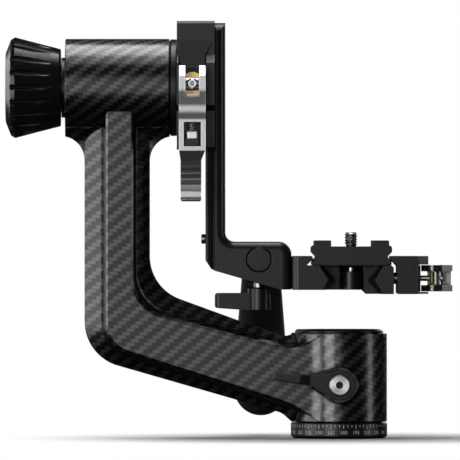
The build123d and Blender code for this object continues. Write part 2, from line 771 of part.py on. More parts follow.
def tilt_knob():
    bore = KNOB_INSERT_LEN
    body = turned(
        along_x(KNOB_LEFT, 0, TILT_Z),
        [
            (KNOB_INSERT_R, KNOB_LEN - bore),
            (KNOB_CAP_R, KNOB_LEN - bore),
            (KNOB_CAP_R, 0),
            (KNOB_NOSE_R, 0),
            (KNOB_EDGE_R, KNOB_NOSE_T),
            (KNOB_R, KNOB_CROWN),
            (KNOB_END_R + 0.3, KNOB_LEN - 0.8),
            (KNOB_END_R, KNOB_LEN),
            (KNOB_INSERT_R, KNOB_LEN),
        ],
    )
    pitch = 360 / KNOB_FLUTES
    bottom_r = KNOB_R + FLUTE_R - FLUTE_DEPTH
    run_out = KNOB_LEN - FLUTE_END
    surface_end = KNOB_R + (KNOB_END_R - KNOB_R) * (run_out - KNOB_CROWN) / (KNOB_LEN - KNOB_CROWN)
    start = Vector(KNOB_LEFT, 0, TILT_Z + bottom_r)
    finish = Vector(KNOB_LEFT + run_out, 0, TILT_Z + surface_end + FLUTE_R)
    direction = (finish - start).normalized()
    back = start - direction * 2
    plane = Plane(origin=back, x_dir=(0, 1, 0), z_dir=direction)
    flute = rod(plane, FLUTE_R, (finish - back).length)
    axis = Axis((0, 0, TILT_Z), (1, 0, 0))
    return body - [flute.rotate(axis, step * pitch) for step in range(KNOB_FLUTES)]


def knob_insert():
    plane = along_x(KNOB_RIGHT - KNOB_INSERT_LEN, 0, TILT_Z)
    return tube(plane, KNOB_INSERT_R, SHAFT_THREAD_R + RUN, KNOB_INSERT_LEN)


def knob_cap():
    plane = along_x(KNOB_LEFT + 0.3, 0, TILT_Z)
    disc = rod(plane, KNOB_CAP_R, KNOB_CAP_T)
    return disc


# --- clamp module ---------------------------------------------------------------------------------------------
def clamp_plane(kind):
    """Where the clamp's own frame sits: the upper one grips the rail, the lower one the plate."""
    if kind == "upper":
        return Plane(origin=(SEAT_X, 0, UPPER_CLAMP_Z), x_dir=(0, -1, 0), z_dir=(1, 0, 0))
    return Plane(origin=(PLATFORM_X, 0, CHANNEL_FLOOR_Z), x_dir=(1, 0, 0), z_dir=(0, 0, 1))


def clamp_section(points, start=-CLAMP_LEN / 2, end=CLAMP_LEN / 2):
    """Outline in the clamp's x and z, carried along its dovetail."""
    plane = Plane(origin=(0, end, 0), x_dir=(1, 0, 0), z_dir=(0, -1, 0))
    return extrude(plane * make_face(Polyline(*points, close=True)), amount=end - start)


def lip_points(side):
    """The dovetail lip from the floor outwards; side is -1 at the fixed jaw and 1 at the moving one."""
    root = LIP_HALF + LIP_EDGE - 0.2
    return [
        (side * root, 0),
        (side * root, 0.2),
        (side * LIP_HALF, LIP_EDGE),
        (side * LIP_HALF, LIP_TOP - EDGE),
        (side * (LIP_HALF + EDGE), LIP_TOP),
    ]


def relief_points(mid, edge):
    """X-shaped relief in the clamp's end, seen along its dovetail."""
    waist_z = CLAMP_FOOT_Z / 2
    reach = CLAMP_FOOT_Z - 1
    return [(-edge, 0), (-mid, waist_z), (-edge, reach), (edge, reach), (mid, waist_z), (edge, 0)]


def end_relief():
    """What is taken from the clamp's end at -y: a ramped X and, behind it, the room round the post."""
    end = -CLAMP_LEN / 2
    across = Plane(origin=(0, end, 0), x_dir=(1, 0, 0), z_dir=(0, -1, 0))
    inner = make_face(Polyline(*relief_points(RELIEF_MID - RELIEF_IN, RELIEF_EDGE - RELIEF_IN / 4), close=True))
    outer = make_face(Polyline(*relief_points(RELIEF_MID, RELIEF_EDGE), close=True))
    ramp = loft([across * outer, across.offset(-RELIEF_RAMP) * inner], ruled=True)
    deep = extrude(across.offset(-RELIEF_DEPTH) * inner, amount=RELIEF_DEPTH - RELIEF_RAMP)
    return ramp + deep - Pos(0, end + RELIEF_DEPTH, 0) * Cylinder(POST_R, CLAMP_LEN)


def clamp_body():
    outline = [
        (-CLAMP_BACK + EDGE, CLAMP_FLOOR_Z),
        (-CLAMP_BACK, CLAMP_FLOOR_Z + EDGE),
        (-CLAMP_BACK, LIP_TOP - EDGE),
        (-CLAMP_BACK + EDGE, LIP_TOP),
        *reversed(lip_points(-1)),
        (CLAMP_FRONT - 1, 0),
        (CLAMP_FRONT, -1),
        (CLAMP_FRONT, CLAMP_FOOT_Z),
        (FOOT_FROM + 2, CLAMP_FOOT_Z),
        (FOOT_FROM, CLAMP_FLOOR_Z),
    ]
    relief = end_relief()
    body = clamp_section(outline) - relief - mirror(relief, about=Plane.XZ)
    backs = body.edges().filter_by(Axis.Z).group_by(Axis.X)[0]
    body = fillet(backs, BACK_ROUND)
    post = Plane(origin=(0, -CLAMP_LEN / 2 + RELIEF_DEPTH, -POST_RECESS))
    body -= rod(post, POST_R + 0.1, POST_RECESS + 1) + rod(post, POST_SCREW_R * 0.6, -POST_SHANK)
    body -= rod(along_x(-BOLT_IN, BOLT_Y, LEVER_Z), BOLT_R, CLAMP_FRONT + BOLT_IN + 1)
    for side in (-1, 1):
        seat = along_x(CLAMP_FRONT - GUIDE_PIN_IN, side * GUIDE_PIN_Y, LEVER_Z)
        body -= rod(seat, GUIDE_PIN_R, GUIDE_PIN_IN + 1)
    return body


def clamp_jaw():
    outline = [
        (JAW_IN, CLAMP_FOOT_Z + EDGE),
        (JAW_IN, LIP_EDGE - (JAW_IN - LIP_HALF)),
        (LIP_HALF, LIP_EDGE),
        (LIP_HALF, LIP_TOP - EDGE),
        (LIP_HALF + EDGE, LIP_TOP),
        (JAW_OUT, LIP_TOP),
        (JAW_OUT, CLAMP_FOOT_Z),
        (JAW_IN + EDGE, CLAMP_FOOT_Z),
    ]
    jaw = clamp_section(outline)
    end_edges = jaw.edges().filter_by(Axis.Z).group_by(Axis.X)[-1]
    jaw = chamfer(end_edges, JAW_CORNER)
    cheek = [
        (JAW_OUT - 1, CHEEK_FROM - 1),
        (JAW_OUT, CHEEK_FROM),
        (JAW_OUT + CHEEK_OUT, CHEEK_FROM + CHEEK_RAMP),
        (JAW_OUT + CHEEK_OUT, CHEEK_TO),
        (JAW_OUT, CHEEK_TO + CHEEK_FALL),
        (JAW_OUT - 1, CHEEK_TO + CHEEK_FALL),
    ]
    lever_half = LEVER_W / 2 + LATCH_PLAY
    for low, high in ((CLAMP_FOOT_Z, LEVER_Z - lever_half), (LEVER_Z + lever_half, LIP_TOP)):
        jaw += extrude(Plane.XY.offset(low) * make_face(Polyline(*cheek, close=True)), amount=high - low)
    jaw += jaw_panel()
    jaw -= rod(along_x(0, BOLT_Y, LEVER_Z), BOLT_R + BOLT_PLAY, PIVOT_X)
    for side in (-1, 1):
        bore = along_x(JAW_IN - 1, side * GUIDE_PIN_Y, LEVER_Z)
        jaw -= rod(bore, GUIDE_PIN_R + RUN, JAW_T - 1)
    return jaw


def post_screw():
    """Small screw in the recess on the clamp's front post, under the plate."""
    foot = Plane(origin=(0, -CLAMP_LEN / 2 + RELIEF_DEPTH, -POST_RECESS - POST_SHANK))
    head = POST_SHANK + POST_SCREW_T
    return turned(
        foot,
        [
            (0, 0),
            (POST_SCREW_R * 0.6, 0),
            (POST_SCREW_R * 0.6, POST_SHANK),
            (POST_SCREW_R, POST_SHANK),
            (POST_SCREW_R, head - EDGE),
            (POST_SCREW_R - EDGE, head),
            (0, head),
        ],
    )


def jaw_panel():
    """Shallow ramp on the jaw's face that narrows from the jaw's width to the lever's."""
    side = [
        (JAW_OUT - 1, PANEL_FROM),
        (JAW_OUT, PANEL_FROM),
        (JAW_OUT + PANEL_OUT, PANEL_TO - 1),
        (JAW_OUT + PANEL_OUT, PANEL_TO),
        (JAW_OUT - 1, PANEL_TO),
    ]
    half = LEVER_W / 2
    face = [
        (PANEL_FROM, CLAMP_FOOT_Z + EDGE),
        (PANEL_FROM, LIP_TOP - EDGE),
        (CHEEK_FROM, LEVER_Z + half),
        (PANEL_TO, LEVER_Z + half),
        (PANEL_TO, LEVER_Z - half),
        (CHEEK_FROM, LEVER_Z - half),
    ]
    ramp = extrude(Plane.XY.offset(CLAMP_FOOT_Z) * make_face(Polyline(*side, close=True)), amount=LIP_TOP - CLAMP_FOOT_Z)
    return ramp & extrude(along_x(JAW_OUT - 1) * make_face(Polyline(*face, close=True)), amount=PANEL_OUT + 2)


def cam_washer():
    return tube(along_x(JAW_OUT, BOLT_Y, LEVER_Z), WASHER_R, BOLT_R + BOLT_PLAY, WASHER_T)


def tie_bolt():
    """Bolt from the fixed jaw through the moving one to the cross pin."""
    head_x = PIVOT_X + BOLT_SEAT
    start = -BOLT_IN
    plane = along_x(start, BOLT_Y, LEVER_Z)
    reach = head_x - start
    top = reach + BOLT_HEAD_OUT - BOLT_SEAT
    bolt = turned(
        plane,
        [
            (0, 0),
            (BOLT_R, 0),
            (BOLT_R, reach),
            (BOLT_HEAD_R, reach),
            (BOLT_HEAD_R, top - BOLT_HEAD_EDGE),
            (BOLT_HEAD_R - BOLT_HEAD_EDGE, top),
            (0, top),
        ],
    )
    socket_x = start + top - BOLT_HEX_R + 0.2
    socket = extrude(along_x(socket_x, BOLT_Y, LEVER_Z) * RegularPolygon(BOLT_HEX_R, 6), amount=BOLT_HEX_R)
    return bolt - socket


def cross_pin():
    plane = Plane(origin=(PIVOT_X, BOLT_Y, LEVER_Z - LEVER_W / 2), x_dir=(1, 0, 0), z_dir=(0, 0, 1))
    pin = rod(plane, CROSS_PIN_R, LEVER_W)
    pin -= rod(along_x(PIVOT_X - LEVER_W, BOLT_Y, LEVER_Z), BOLT_R, 2 * LEVER_W)
    return pin - rod(along_x(PIVOT_X + BOLT_SEAT, BOLT_Y, LEVER_Z), BOLT_HEAD_R, LEVER_W)


def guide_pins():
    pins = []
    for side in (-1, 1):
        plane = along_x(CLAMP_FRONT - GUIDE_PIN_IN, side * GUIDE_PIN_Y, LEVER_Z)
        pins.append(rod(plane, GUIDE_PIN_R, GUIDE_PIN_IN + JAW_GAP + JAW_T - 3.5))
    return Compound(children=pins)


def lever_side():
    """The lever seen along its pivot: x outwards from the pivot, y towards the tip."""
    outer = [
        (CAM_R * -0.2, -CAM_R),
        (2.9, -LEVER_EAR_END),
        (LEVER_OUT, -LEVER_EAR_END + LEVER_EAR_RUN),
        (LEVER_OUT, 3.0),
        (LEVER_OUT - LEVER_WAIST_IN, LEVER_WAIST),
        (LEVER_OUT - LEVER_FACE_IN, LEVER_FACE_FROM),
        (LEVER_OUT - LEVER_FACE_IN, LEVER_FACE_TO),
        (LEVER_OUT - RIB_IN, RIB_FROM),
    ]
    ribs = []
    for count in range(RIB_COUNT):
        base_y = RIB_FROM + count * RIB_PITCH
        crest = LEVER_OUT - RIB_IN + RIB_RISE * (count / RIB_COUNT) ** 2
        ribs.append((crest, base_y + 0.3))
        ribs.append((crest, base_y + RIB_PITCH * 0.62))
        ribs.append((crest - RIB_DEPTH, base_y + RIB_PITCH * 0.7))
        ribs.append((crest - RIB_DEPTH, base_y + RIB_PITCH))
    tip = [
        (LEVER_OUT - 0.3, LEVER_TIP - 0.8),
        (LEVER_OUT - 0.9, LEVER_TIP),
        (LEVER_OUT - 2.4, LEVER_TIP),
        (LEVER_OUT - 4.6, LEVER_TIP - 9.3),
        (LEVER_OUT - 5.2, TIP_NECK_TO - 0.4),
        (LEVER_OUT - 5.8, 14.0),
        (LEVER_OUT - 7.4, 6.4),
        (-CAM_R * 0.4, 4.6),
        (-CAM_OFFSET, 0),
    ]
    points = [*outer, *ribs, *tip]
    arcs = [0] * len(points)
    arcs[3:6] = LEVER_WAIST_R, LEVER_WAIST_R, LEVER_WAIST_R / 3
    return rounded(points, arcs)


def slim_cut(edge, inner):
    """What narrows the lever's finger end on one side, from the full half width to the inner one."""
    out = 1.0 if edge > 0 else -1.0
    outline = [
        (edge + out, TIP_NECK_FROM - 0.4),
        (edge, TIP_NECK_FROM),
        (inner, TIP_NECK_TO),
        (inner, LEVER_TIP - 0.8),
        (inner - out * 0.8, LEVER_TIP + 0.1),
        (edge + out, LEVER_TIP + 0.1),
    ]
    plane = Plane(origin=(0, 0, 0), x_dir=(0, 0, 1), z_dir=(-1, 0, 0))
    return extrude(plane * make_face(Polyline(*outline, close=True)), amount=LEVER_TIP, both=True)


def clamp_lever():
    """Cam lever: two ears on the cross pin, a window for the latch and a ribbed finger tip."""
    plane = Plane(origin=(PIVOT_X, BOLT_Y, LEVER_Z), x_dir=(1, 0, 0), z_dir=(0, 0, 1))
    side = lever_side() + Pos(-CAM_OFFSET, 0) * Circle(CAM_R)
    lever = extrude(plane * side, amount=LEVER_W / 2, both=True)
    far = LEVER_TIP
    fork = box_between((-far, -far, -EAR_GAP / 2), (far, FORK_END, EAR_GAP / 2))
    fork += box_between((LEVER_OUT - FORK_STEP_IN, 0, -EAR_GAP / 2), (far, FORK_STEP, EAR_GAP / 2))
    window = box_between((-far, WINDOW_FROM, -WINDOW_W / 2), (far, WINDOW_TO, WINDOW_W / 2))
    half = LEVER_W / 2
    lever -= Pos(PIVOT_X, BOLT_Y, LEVER_Z) * (slim_cut(half, half - TIP_IN_HIGH) + slim_cut(-half, TIP_IN_LOW - half))
    lever -= Pos(PIVOT_X, BOLT_Y, LEVER_Z) * (fork + window)
    pin_plane = Plane(origin=(PIVOT_X, BOLT_Y, LEVER_Z - LEVER_W), x_dir=(1, 0, 0), z_dir=(0, 0, 1))
    return lever - rod(pin_plane, CROSS_PIN_R + RUN, 2 * LEVER_W)


def latch_block():
    width = WINDOW_W - 2 * LATCH_PLAY
    end = WINDOW_TO - LATCH_PLAY - LATCH_BUTTON_L
    low = (LEVER_OUT - 1.0 - LATCH_T, end - LATCH_BLOCK_L, -width / 2)
    high = (LEVER_OUT - 1.0, end, width / 2)
    return Pos(PIVOT_X, BOLT_Y, LEVER_Z) * box_between(low, high)


def latch_button():
    width = WINDOW_W - 2 * LATCH_PLAY - 1.2
    end = WINDOW_TO - LATCH_PLAY
    low = (LEVER_OUT - 1.0 - LATCH_T, end - LATCH_BUTTON_L, -width / 2)
    high = (LEVER_OUT - LATCH_BUTTON_IN, end, width / 2)
    button = box_between(low, high)
    corners = button.edges().filter_by(Axis.X).group_by(Axis.Y)[-1]
    return Pos(PIVOT_X, BOLT_Y, LEVER_Z) * fillet(corners, 1.6)


CLAMP_PARTS = {
    "clamp_body": clamp_body,
    "post_screw": post_screw,
    "jaw": clamp_jaw,
    "cam_washer": cam_washer,
    "tie_bolt": tie_bolt,
    "cross_pin": cross_pin,
    "guide_pins": guide_pins,
    "lever": clamp_lever,
    "latch_block": latch_block,
    "latch_button": latch_button,
}


# --- swing bracket ------------------------------------------------------------------------------------------
def dovetail(half, thickness, body_half):
    """Half outline of a dovetail bar: (distance from the middle, height above the floor)."""
    flank_top = LIP_EDGE - 0.1
    return [
        (0, 0.05),
        (half - 0.5, 0.05),
        (half, 0.5),
        (half, 1.4),
        (LIP_HALF - SLIDE, flank_top),
        (LIP_HALF - 1.2, flank_top + 0.7),
        (LIP_HALF - 1.2, LIP_TOP + 0.3),
        (body_half, LIP_TOP + 0.3),
        (body_half, thickness),
        (0, thickness),
    ]


def both_sides(points):
    """A half outline and its mirror image as one closed outline."""
    other = [(-across, up) for across, up in reversed(points) if across]
    return [*points, *other]


def swing_bracket():
    """Upright plate behind the dovetail rail, with the foot that carries the lower clamp."""
    outline = [
        (RAIL_BODY_X, RAIL_TOP),
        (RAIL_BODY_X, FOOT_SLOPE_Z),
        (FOOT_UNDER_X, FOOT_UNDER),
        (FOOT_END_X, FOOT_UNDER),
        (FOOT_END_X, FOOT_TOP),
        (RAIL_FACE_X, FOOT_TOP),
        (RAIL_FACE_X, RAIL_TOP),
    ]
    section = front(BRACKET_HALF) * rounded(outline, [0, 0, 4, 0, FOOT_CORNER_R, FOOT_INNER_R, 0])
    body = extrude(section, amount=2 * BRACKET_HALF) - crown_cut()
    cheeks = body.edges().filter_by(Axis.Z).group_by(Axis.X)[-1]
    body = fillet(cheeks, FOOT_CHEEK_R)
    body -= axle_bore()
    screw = Plane(origin=(AXLE_X, 0, LOCK_HUB_TOP), x_dir=(1, 0, 0), z_dir=(0, 0, 1))
    body -= rod(screw, SET_SCREW_R + RUN, AXLE_Z - LOCK_HUB_TOP)
    return body - stop_bore()


def dovetail_rail():
    """Dovetail strip on the bracket's left side, gripped by the upper clamp."""
    flange_points = both_sides(dovetail(RAIL_HALF, RAIL_BODY_X - SEAT_X, BRACKET_HALF - 1)[:-2])
    foot_z = FOOT_SLOPE_Z
    across = Plane(origin=(SEAT_X, 0, foot_z), x_dir=(0, -1, 0), z_dir=(0, 0, 1))
    rail = extrude(across * make_face(Polyline(*flange_points, close=True)), amount=RAIL_TOP - foot_z)
    cut = [
        (SEAT_X - 1, foot_z - 1),
        (SEAT_X - 1, foot_z + 6),
        (SEAT_X, foot_z + 5.2),
        (SEAT_X + 2.8, foot_z + 1.0),
        (RAIL_BODY_X, foot_z),
        (RAIL_BODY_X, foot_z - 1),
    ]
    rail -= extrude(front(RAIL_HALF + 1) * make_face(Polyline(*cut, close=True)), amount=2 * RAIL_HALF + 2)
    return rail - crown_cut() - stop_bore()


def stop_bore():
    """Seat of the stop screw through the rail into the bracket."""
    return rod(along_x(SEAT_X - 1, 0, STOP_Z), STOP_R * 0.6, STOP_IN + 1)


def crown_cut():
    """What the rail's rounded top takes away on both sides."""
    square = box_between(
        (SEAT_X - 1, RAIL_HALF - RAIL_CROWN_R, RAIL_TOP - RAIL_CROWN_R),
        (RAIL_FACE_X + 1, RAIL_HALF + 1, RAIL_TOP + 1),
    )
    round_bar = rod(
        along_x(SEAT_X - 2, RAIL_HALF - RAIL_CROWN_R, RAIL_TOP - RAIL_CROWN_R),
        RAIL_CROWN_R,
        RAIL_FACE_X - SEAT_X + 4,
    )
    corner = square - round_bar
    return corner + mirror(corner, about=Plane.XZ)


def axle_bore():
    """Bore through the foot, with its countersunk mouth at the front."""
    plane = Plane(origin=(AXLE_X, BRACKET_HALF + 1, AXLE_Z), x_dir=(1, 0, 0), z_dir=(0, -1, 0))
    radius = AXLE_R + RUN
    return turned(
        plane,
        [
            (0, 0),
            (radius, 0),
            (radius, 2 * BRACKET_HALF + 1 - EDGE),
            (radius + EDGE, 2 * BRACKET_HALF + 1),
            (radius + EDGE, 2 * BRACKET_HALF + 2),
            (0, 2 * BRACKET_HALF + 2),
        ],
    )


def stop_screw():
    back = Plane(origin=(SEAT_X + STOP_IN, 0, STOP_Z), x_dir=(0, 1, 0), z_dir=(-1, 0, 0))
    return turned(
        back,
        [
            (0, 0),
            (STOP_R * 0.6, 0),
            (STOP_R * 0.6, STOP_IN - 0.05),
            (STOP_R, STOP_IN - 0.05),
            (STOP_R, STOP_IN + STOP_OUT - 0.3),
            (STOP_R - 0.3, STOP_IN + STOP_OUT),
            (0, STOP_IN + STOP_OUT),
        ],
    )


# --- handle ----------------------------------------------------------------------------------------------------
def handle_axle():
    back = BRACKET_HALF + GAP
    plane = Plane(origin=(AXLE_X, back, AXLE_Z), x_dir=(1, 0, 0), z_dir=(0, -1, 0))
    length = back + BRACKET_HALF - 0.1
    return turned(
        plane, [(0, 0), (AXLE_R, 0), (AXLE_R, length - EDGE), (AXLE_R - EDGE, length), (0, length)]
    )


def grip_plane(distance):
    """Plane across the grip at a distance down it from the hub's middle."""
    lean = math.radians(GRIP_LEAN)
    direction = Vector(0, math.sin(lean), -math.cos(lean))
    start = Vector(AXLE_X + 1.2, BRACKET_HALF + GAP + HUB_LEN / 2, AXLE_Z)
    return Plane(origin=start + direction * distance, x_dir=(1, 0, 0), z_dir=direction)


def handle_hub():
    """Round foot on the bracket's back with a socket for the grip."""
    back = BRACKET_HALF + GAP
    plane = Plane(origin=(AXLE_X, back, AXLE_Z), x_dir=(1, 0, 0), z_dir=(0, 1, 0))
    hub = rod(plane, HUB_R, HUB_LEN)
    hub = fillet(hub.edges().filter_by(GeomType.CIRCLE).sort_by(Axis.Y)[-1], 2)
    return hub + rod(grip_plane(0), GRIP_TOP_R - 1.5, GRIP_FROM)


def handle_grip():
    """Round grip that swells towards its ball end."""
    neck = GRIP_FROM + 0.6
    swell = GRIP_LEN * 0.55
    side = [
        Line((0, GRIP_FROM), (GRIP_TOP_R - 0.6, GRIP_FROM)),
        Line((GRIP_TOP_R - 0.6, GRIP_FROM), (GRIP_TOP_R, neck)),
        Spline(
            (GRIP_TOP_R, neck),
            ((GRIP_TOP_R + GRIP_END_R) / 2 + 0.4, swell),
            (GRIP_END_R, GRIP_LEN),
            tangents=((GRIP_END_R - GRIP_TOP_R, GRIP_LEN - neck), (0, 1)),
        ),
        ThreePointArc(
            (GRIP_END_R, GRIP_LEN),
            (GRIP_END_R * math.sqrt(0.5), GRIP_LEN + GRIP_END_R * math.sqrt(0.5)),
            (0, GRIP_LEN + GRIP_END_R),
        ),
        Line((0, GRIP_LEN + GRIP_END_R), (0, GRIP_FROM)),
    ]
    place = grip_plane(0)
    section = Plane(origin=place.origin, x_dir=place.x_dir, z_dir=-place.y_dir)
    return revolve(section * make_face(side), axis=Axis(place.origin, place.z_dir))


def lock_handle():
    """T-shaped wing that turns the clamping screw under the foot."""
    hub_plane = Plane(origin=(AXLE_X, 0, LOCK_HUB_LOW), x_dir=(1, 0, 0), z_dir=(0, 0, 1))
    hub = rod(hub_plane, LOCK_HUB_R, LOCK_HUB_TOP - LOCK_HUB_LOW)
    hub = chamfer(hub.edges().filter_by(GeomType.CIRCLE), 0.5)
    tip = AXLE_X - LOCK_WING_REACH
    outline = [
        (AXLE_X, LOCK_HUB_LOW + 0.3),
        (AXLE_X - LOCK_HUB_R, LOCK_HUB_LOW + 0.3),
        (tip, LOCK_WING_LOW),
        (tip, LOCK_WING_TOP),
        (AXLE_X, LOCK_WING_TOP),
    ]
    side = extrude(front(LOCK_WING_T) * rounded(outline, [0, 0, 1.4, 1.4, 0]), amount=2 * LOCK_WING_T)
    half = LOCK_WING_T / 2
    above = [
        (AXLE_X, -half),
        (tip, -half),
        (tip, half),
        (AXLE_X, half),
    ]
    height = LOCK_HUB_TOP - LOCK_HUB_LOW + 2
    top = extrude(hub_plane.offset(-1).location * Pos(-AXLE_X, 0) * rounded(above, [0, 2, 2, 0]), amount=height)
    return hub + (side & top) - rod(hub_plane.offset(2), SET_SCREW_R, LOCK_HUB_TOP)


def lock_handle_screw():
    top = AXLE_Z - AXLE_R - RUN
    start = LOCK_HUB_LOW + 2
    plane = Plane(origin=(AXLE_X, 0, start), x_dir=(1, 0, 0), z_dir=(0, 0, 1))
    return rod(plane, SET_SCREW_R, top - start)


# --- plate ---------------------------------------------------------------------------------------------------
def quick_plate():
    half = dovetail(RAIL_HALF, PLATE_TOP, PLATE_HALF)[:-2]
    half += [
        (PLATE_HALF, PLATE_BEAD_LOW),
        (PLATE_HALF + PLATE_BEAD_OUT, PLATE_BEAD_LOW + PLATE_BEAD_OUT),
        (PLATE_HALF + PLATE_BEAD_OUT, PLATE_BEAD_TOP - 0.9),
        (PLATE_HALF + PLATE_BEAD_OUT - 0.9, PLATE_BEAD_TOP),
        (PLATE_HALF, PLATE_BEAD_TOP),
        (PLATE_HALF, PLATE_TOP - EDGE),
        (PLATE_HALF - EDGE, PLATE_TOP),
        (PLATE_CHANNEL_HALF, PLATE_TOP),
        (PLATE_CHANNEL_HALF, PLATE_CHANNEL_FLOOR),
        (0, PLATE_CHANNEL_FLOOR),
    ]
    plate = clamp_section(both_sides(half), -PLATE_LEN / 2, PLATE_LEN / 2)
    plate = clamp_plane("lower").location * plate
    pocket_top = CHANNEL_FLOOR_Z + SCREW_HEAD_IN + SCREW_HEAD_T + GAP
    middle = Plane(origin=(PLATFORM_X, 0, CHANNEL_FLOOR_Z - 2), x_dir=(1, 0, 0), z_dir=(0, 0, 1))
    plate -= rod(middle, SCREW_HEAD_R + GAP, pocket_top - CHANNEL_FLOOR_Z + 2)
    return plate - rod(middle, CAMERA_SCREW_NECK_R + RUN, 2 * PLATE_TOP)


def camera_screw():
    low = CHANNEL_FLOOR_Z + SCREW_HEAD_IN
    floor = PLATE_CHANNEL_FLOOR - SCREW_HEAD_IN
    thread = floor + CAMERA_THREAD_UP
    top = floor + CAMERA_SCREW_OUT
    plane = Plane(origin=(PLATFORM_X, 0, low), x_dir=(1, 0, 0), z_dir=(0, 0, 1))
    screw = turned(
        plane,
        [
            (0, 0),
            (SCREW_HEAD_R - 0.4, 0),
            (SCREW_HEAD_R, 0.4),
            (SCREW_HEAD_R, SCREW_HEAD_T),
            (CAMERA_SCREW_NECK_R, SCREW_HEAD_T),
            (CAMERA_SCREW_NECK_R, thread),
            (CAMERA_SCREW_R, thread),
            (CAMERA_SCREW_R, top - CAMERA_SCREW_TIP),
            (CAMERA_SCREW_R - CAMERA_SCREW_TIP, top),
            (0, top),
        ],
    )
    slot = box_between((-SCREW_HEAD_R, -0.7, -1), (SCREW_HEAD_R, 0.7, 1.1))
    return screw - plane.location * slot


# --- build -----------------------------------------------------------------------------------------------------
low_bearing, high_bearing = pan_bearing_places()
save("base_ring", base_ring())
save("pan_spindle", pan_spindle())
save("pan_nut", pan_nut())
save("pan_sleeve", pan_sleeve())
save("pan_bearing_lower", bearing(Plane.XY.offset(low_bearing), PAN_BEARING_R, SPINDLE_R + RUN, PAN_BEARING_T))
save("pan_bearing_upper", bearing(Plane.XY.offset(high_bearing), PAN_BEARING_R, SPINDLE_R + RUN, PAN_BEARING_T))
save("top_cap", top_cap())
save("pan_brake_shoe", pan_brake_shoe())
save("pan_lock_lever", pan_lock_lever())
save("pan_lock_screw", pan_lock_screw())
save("yoke_arm", yoke_arm())
save("tilt_barrel", tilt_barrel())
save("pan_housing", pan_housing())
save("tilt_sleeve", tilt_sleeve())
for side, face in (("left", BORE_LEFT), ("right", BARREL_RIGHT - TILT_BEARING_T)):
    plane = along_x(face, 0, TILT_Z)
    save(f"tilt_bearing_{side}", bearing(plane, TILT_BEARING_R, SHAFT_R + RUN, TILT_BEARING_T))
save("neck_ring", neck_ring())
save("tilt_shaft", tilt_shaft())
save("tilt_collar", tilt_collar())
save("tilt_knob", tilt_knob())
save("knob_insert", knob_insert())
save("knob_cap", knob_cap())
for kind in ("upper", "lower"):
    place = clamp_plane(kind).location
    for name, make in CLAMP_PARTS.items():
        save(f"{kind}_{name}", place * make())
save("swing_bracket", swing_bracket())
save("dovetail_rail", dovetail_rail())
save("stop_screw", stop_screw())
save("handle_axle", handle_axle())
save("handle_hub", handle_hub())
save("handle_grip", handle_grip())
save("lock_handle", lock_handle())
save("lock_handle_screw", lock_handle_screw())
save("quick_plate", quick_plate())
save("camera_screw", camera_screw())
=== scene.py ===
"""Studio scene round the gimbal tripod head: carbon weave, anodised metal, dial marks and screw threads.

Metres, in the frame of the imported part: +Z up, +X to the camera platform, the photo's camera looks along +Y.
"""

import json
import math

import bmesh
import bpy
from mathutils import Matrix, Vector


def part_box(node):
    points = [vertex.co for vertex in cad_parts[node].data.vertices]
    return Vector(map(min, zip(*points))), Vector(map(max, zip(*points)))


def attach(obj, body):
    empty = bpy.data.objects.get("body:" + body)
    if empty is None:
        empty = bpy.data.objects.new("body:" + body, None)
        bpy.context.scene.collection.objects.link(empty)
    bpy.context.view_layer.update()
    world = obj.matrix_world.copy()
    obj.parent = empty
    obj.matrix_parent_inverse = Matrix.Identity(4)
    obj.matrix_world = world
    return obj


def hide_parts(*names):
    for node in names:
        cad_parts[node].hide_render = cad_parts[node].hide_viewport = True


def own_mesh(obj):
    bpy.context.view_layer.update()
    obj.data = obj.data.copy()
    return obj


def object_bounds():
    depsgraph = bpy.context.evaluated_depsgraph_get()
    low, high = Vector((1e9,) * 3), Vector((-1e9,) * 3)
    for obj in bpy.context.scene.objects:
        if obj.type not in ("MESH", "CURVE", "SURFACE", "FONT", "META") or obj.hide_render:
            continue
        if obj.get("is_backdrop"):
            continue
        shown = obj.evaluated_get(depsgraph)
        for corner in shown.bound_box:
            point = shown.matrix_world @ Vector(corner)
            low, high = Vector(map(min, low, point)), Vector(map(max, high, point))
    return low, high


MM = 0.001
FULL_TURN = 2 * math.pi

# --- camera, as the photograph was framed ---------------------------------------------------------
VIEW_X = -52.3 * MM
VIEW_Z = 99.7 * MM
VIEW_WIDTH = 220.8 * MM
VIEW_DISTANCE = 5.0
SENSOR = 36.0

# --- studio ---------------------------------------------------------------------------------------
ROOM = 1.6  # distance of the studio's cards from the object
CARD_SIZE = (4.0, 4.0)
FLOOR_SIZE = 6.0
FLOOR_GAP = 0.2 * MM  # between the object's underside and the floor
WORLD_FILL = 0.15
SHADOW_FROM = 0.05  # the floor's own look ends between these distances from the pan axis
SHADOW_TO = 0.17

# --- carbon weave ---------------------------------------------------------------------------------
TOW_W = 2.08 * MM
TOW_H = 1.70 * MM
TWILL = 4  # tows in one repeat, half of them over and half under

# --- marks on the base ring -----------------------------------------------------------------------
TICK_STEP = 5
TICKS_PER_LABEL = 3
DIAL_FRONT = 175  # the dial's reading at the front
TICK_TOP = 6.55 * MM
TICK_LONG = 1.9 * MM
TICK_SHORT = 1.2 * MM
TICK_WIDTH = 0.32 * MM
DIGIT_HEIGHT = 1.75 * MM
DIGIT_LOW = 2.0 * MM
PAINT = 0.03 * MM  # thickness of the paint on the ring

# --- threads and springs --------------------------------------------------------------------------
CAMERA_PITCH = 1.27 * MM
CAMERA_THREAD_R = 3.175 * MM
CAMERA_THREAD_LEN = 6.3 * MM
THREAD_DEPTH = 0.6 * MM
THREAD_OVERLAP = 0.02 * MM  # the neck reaches this far into the thread's foot
SPRING_R = 1.7 * MM
SPRING_WIRE = 0.28 * MM
SPRING_TURNS = 4
WINDOW_ROOM = 4.2 * MM  # free length of the lever's window behind the latch

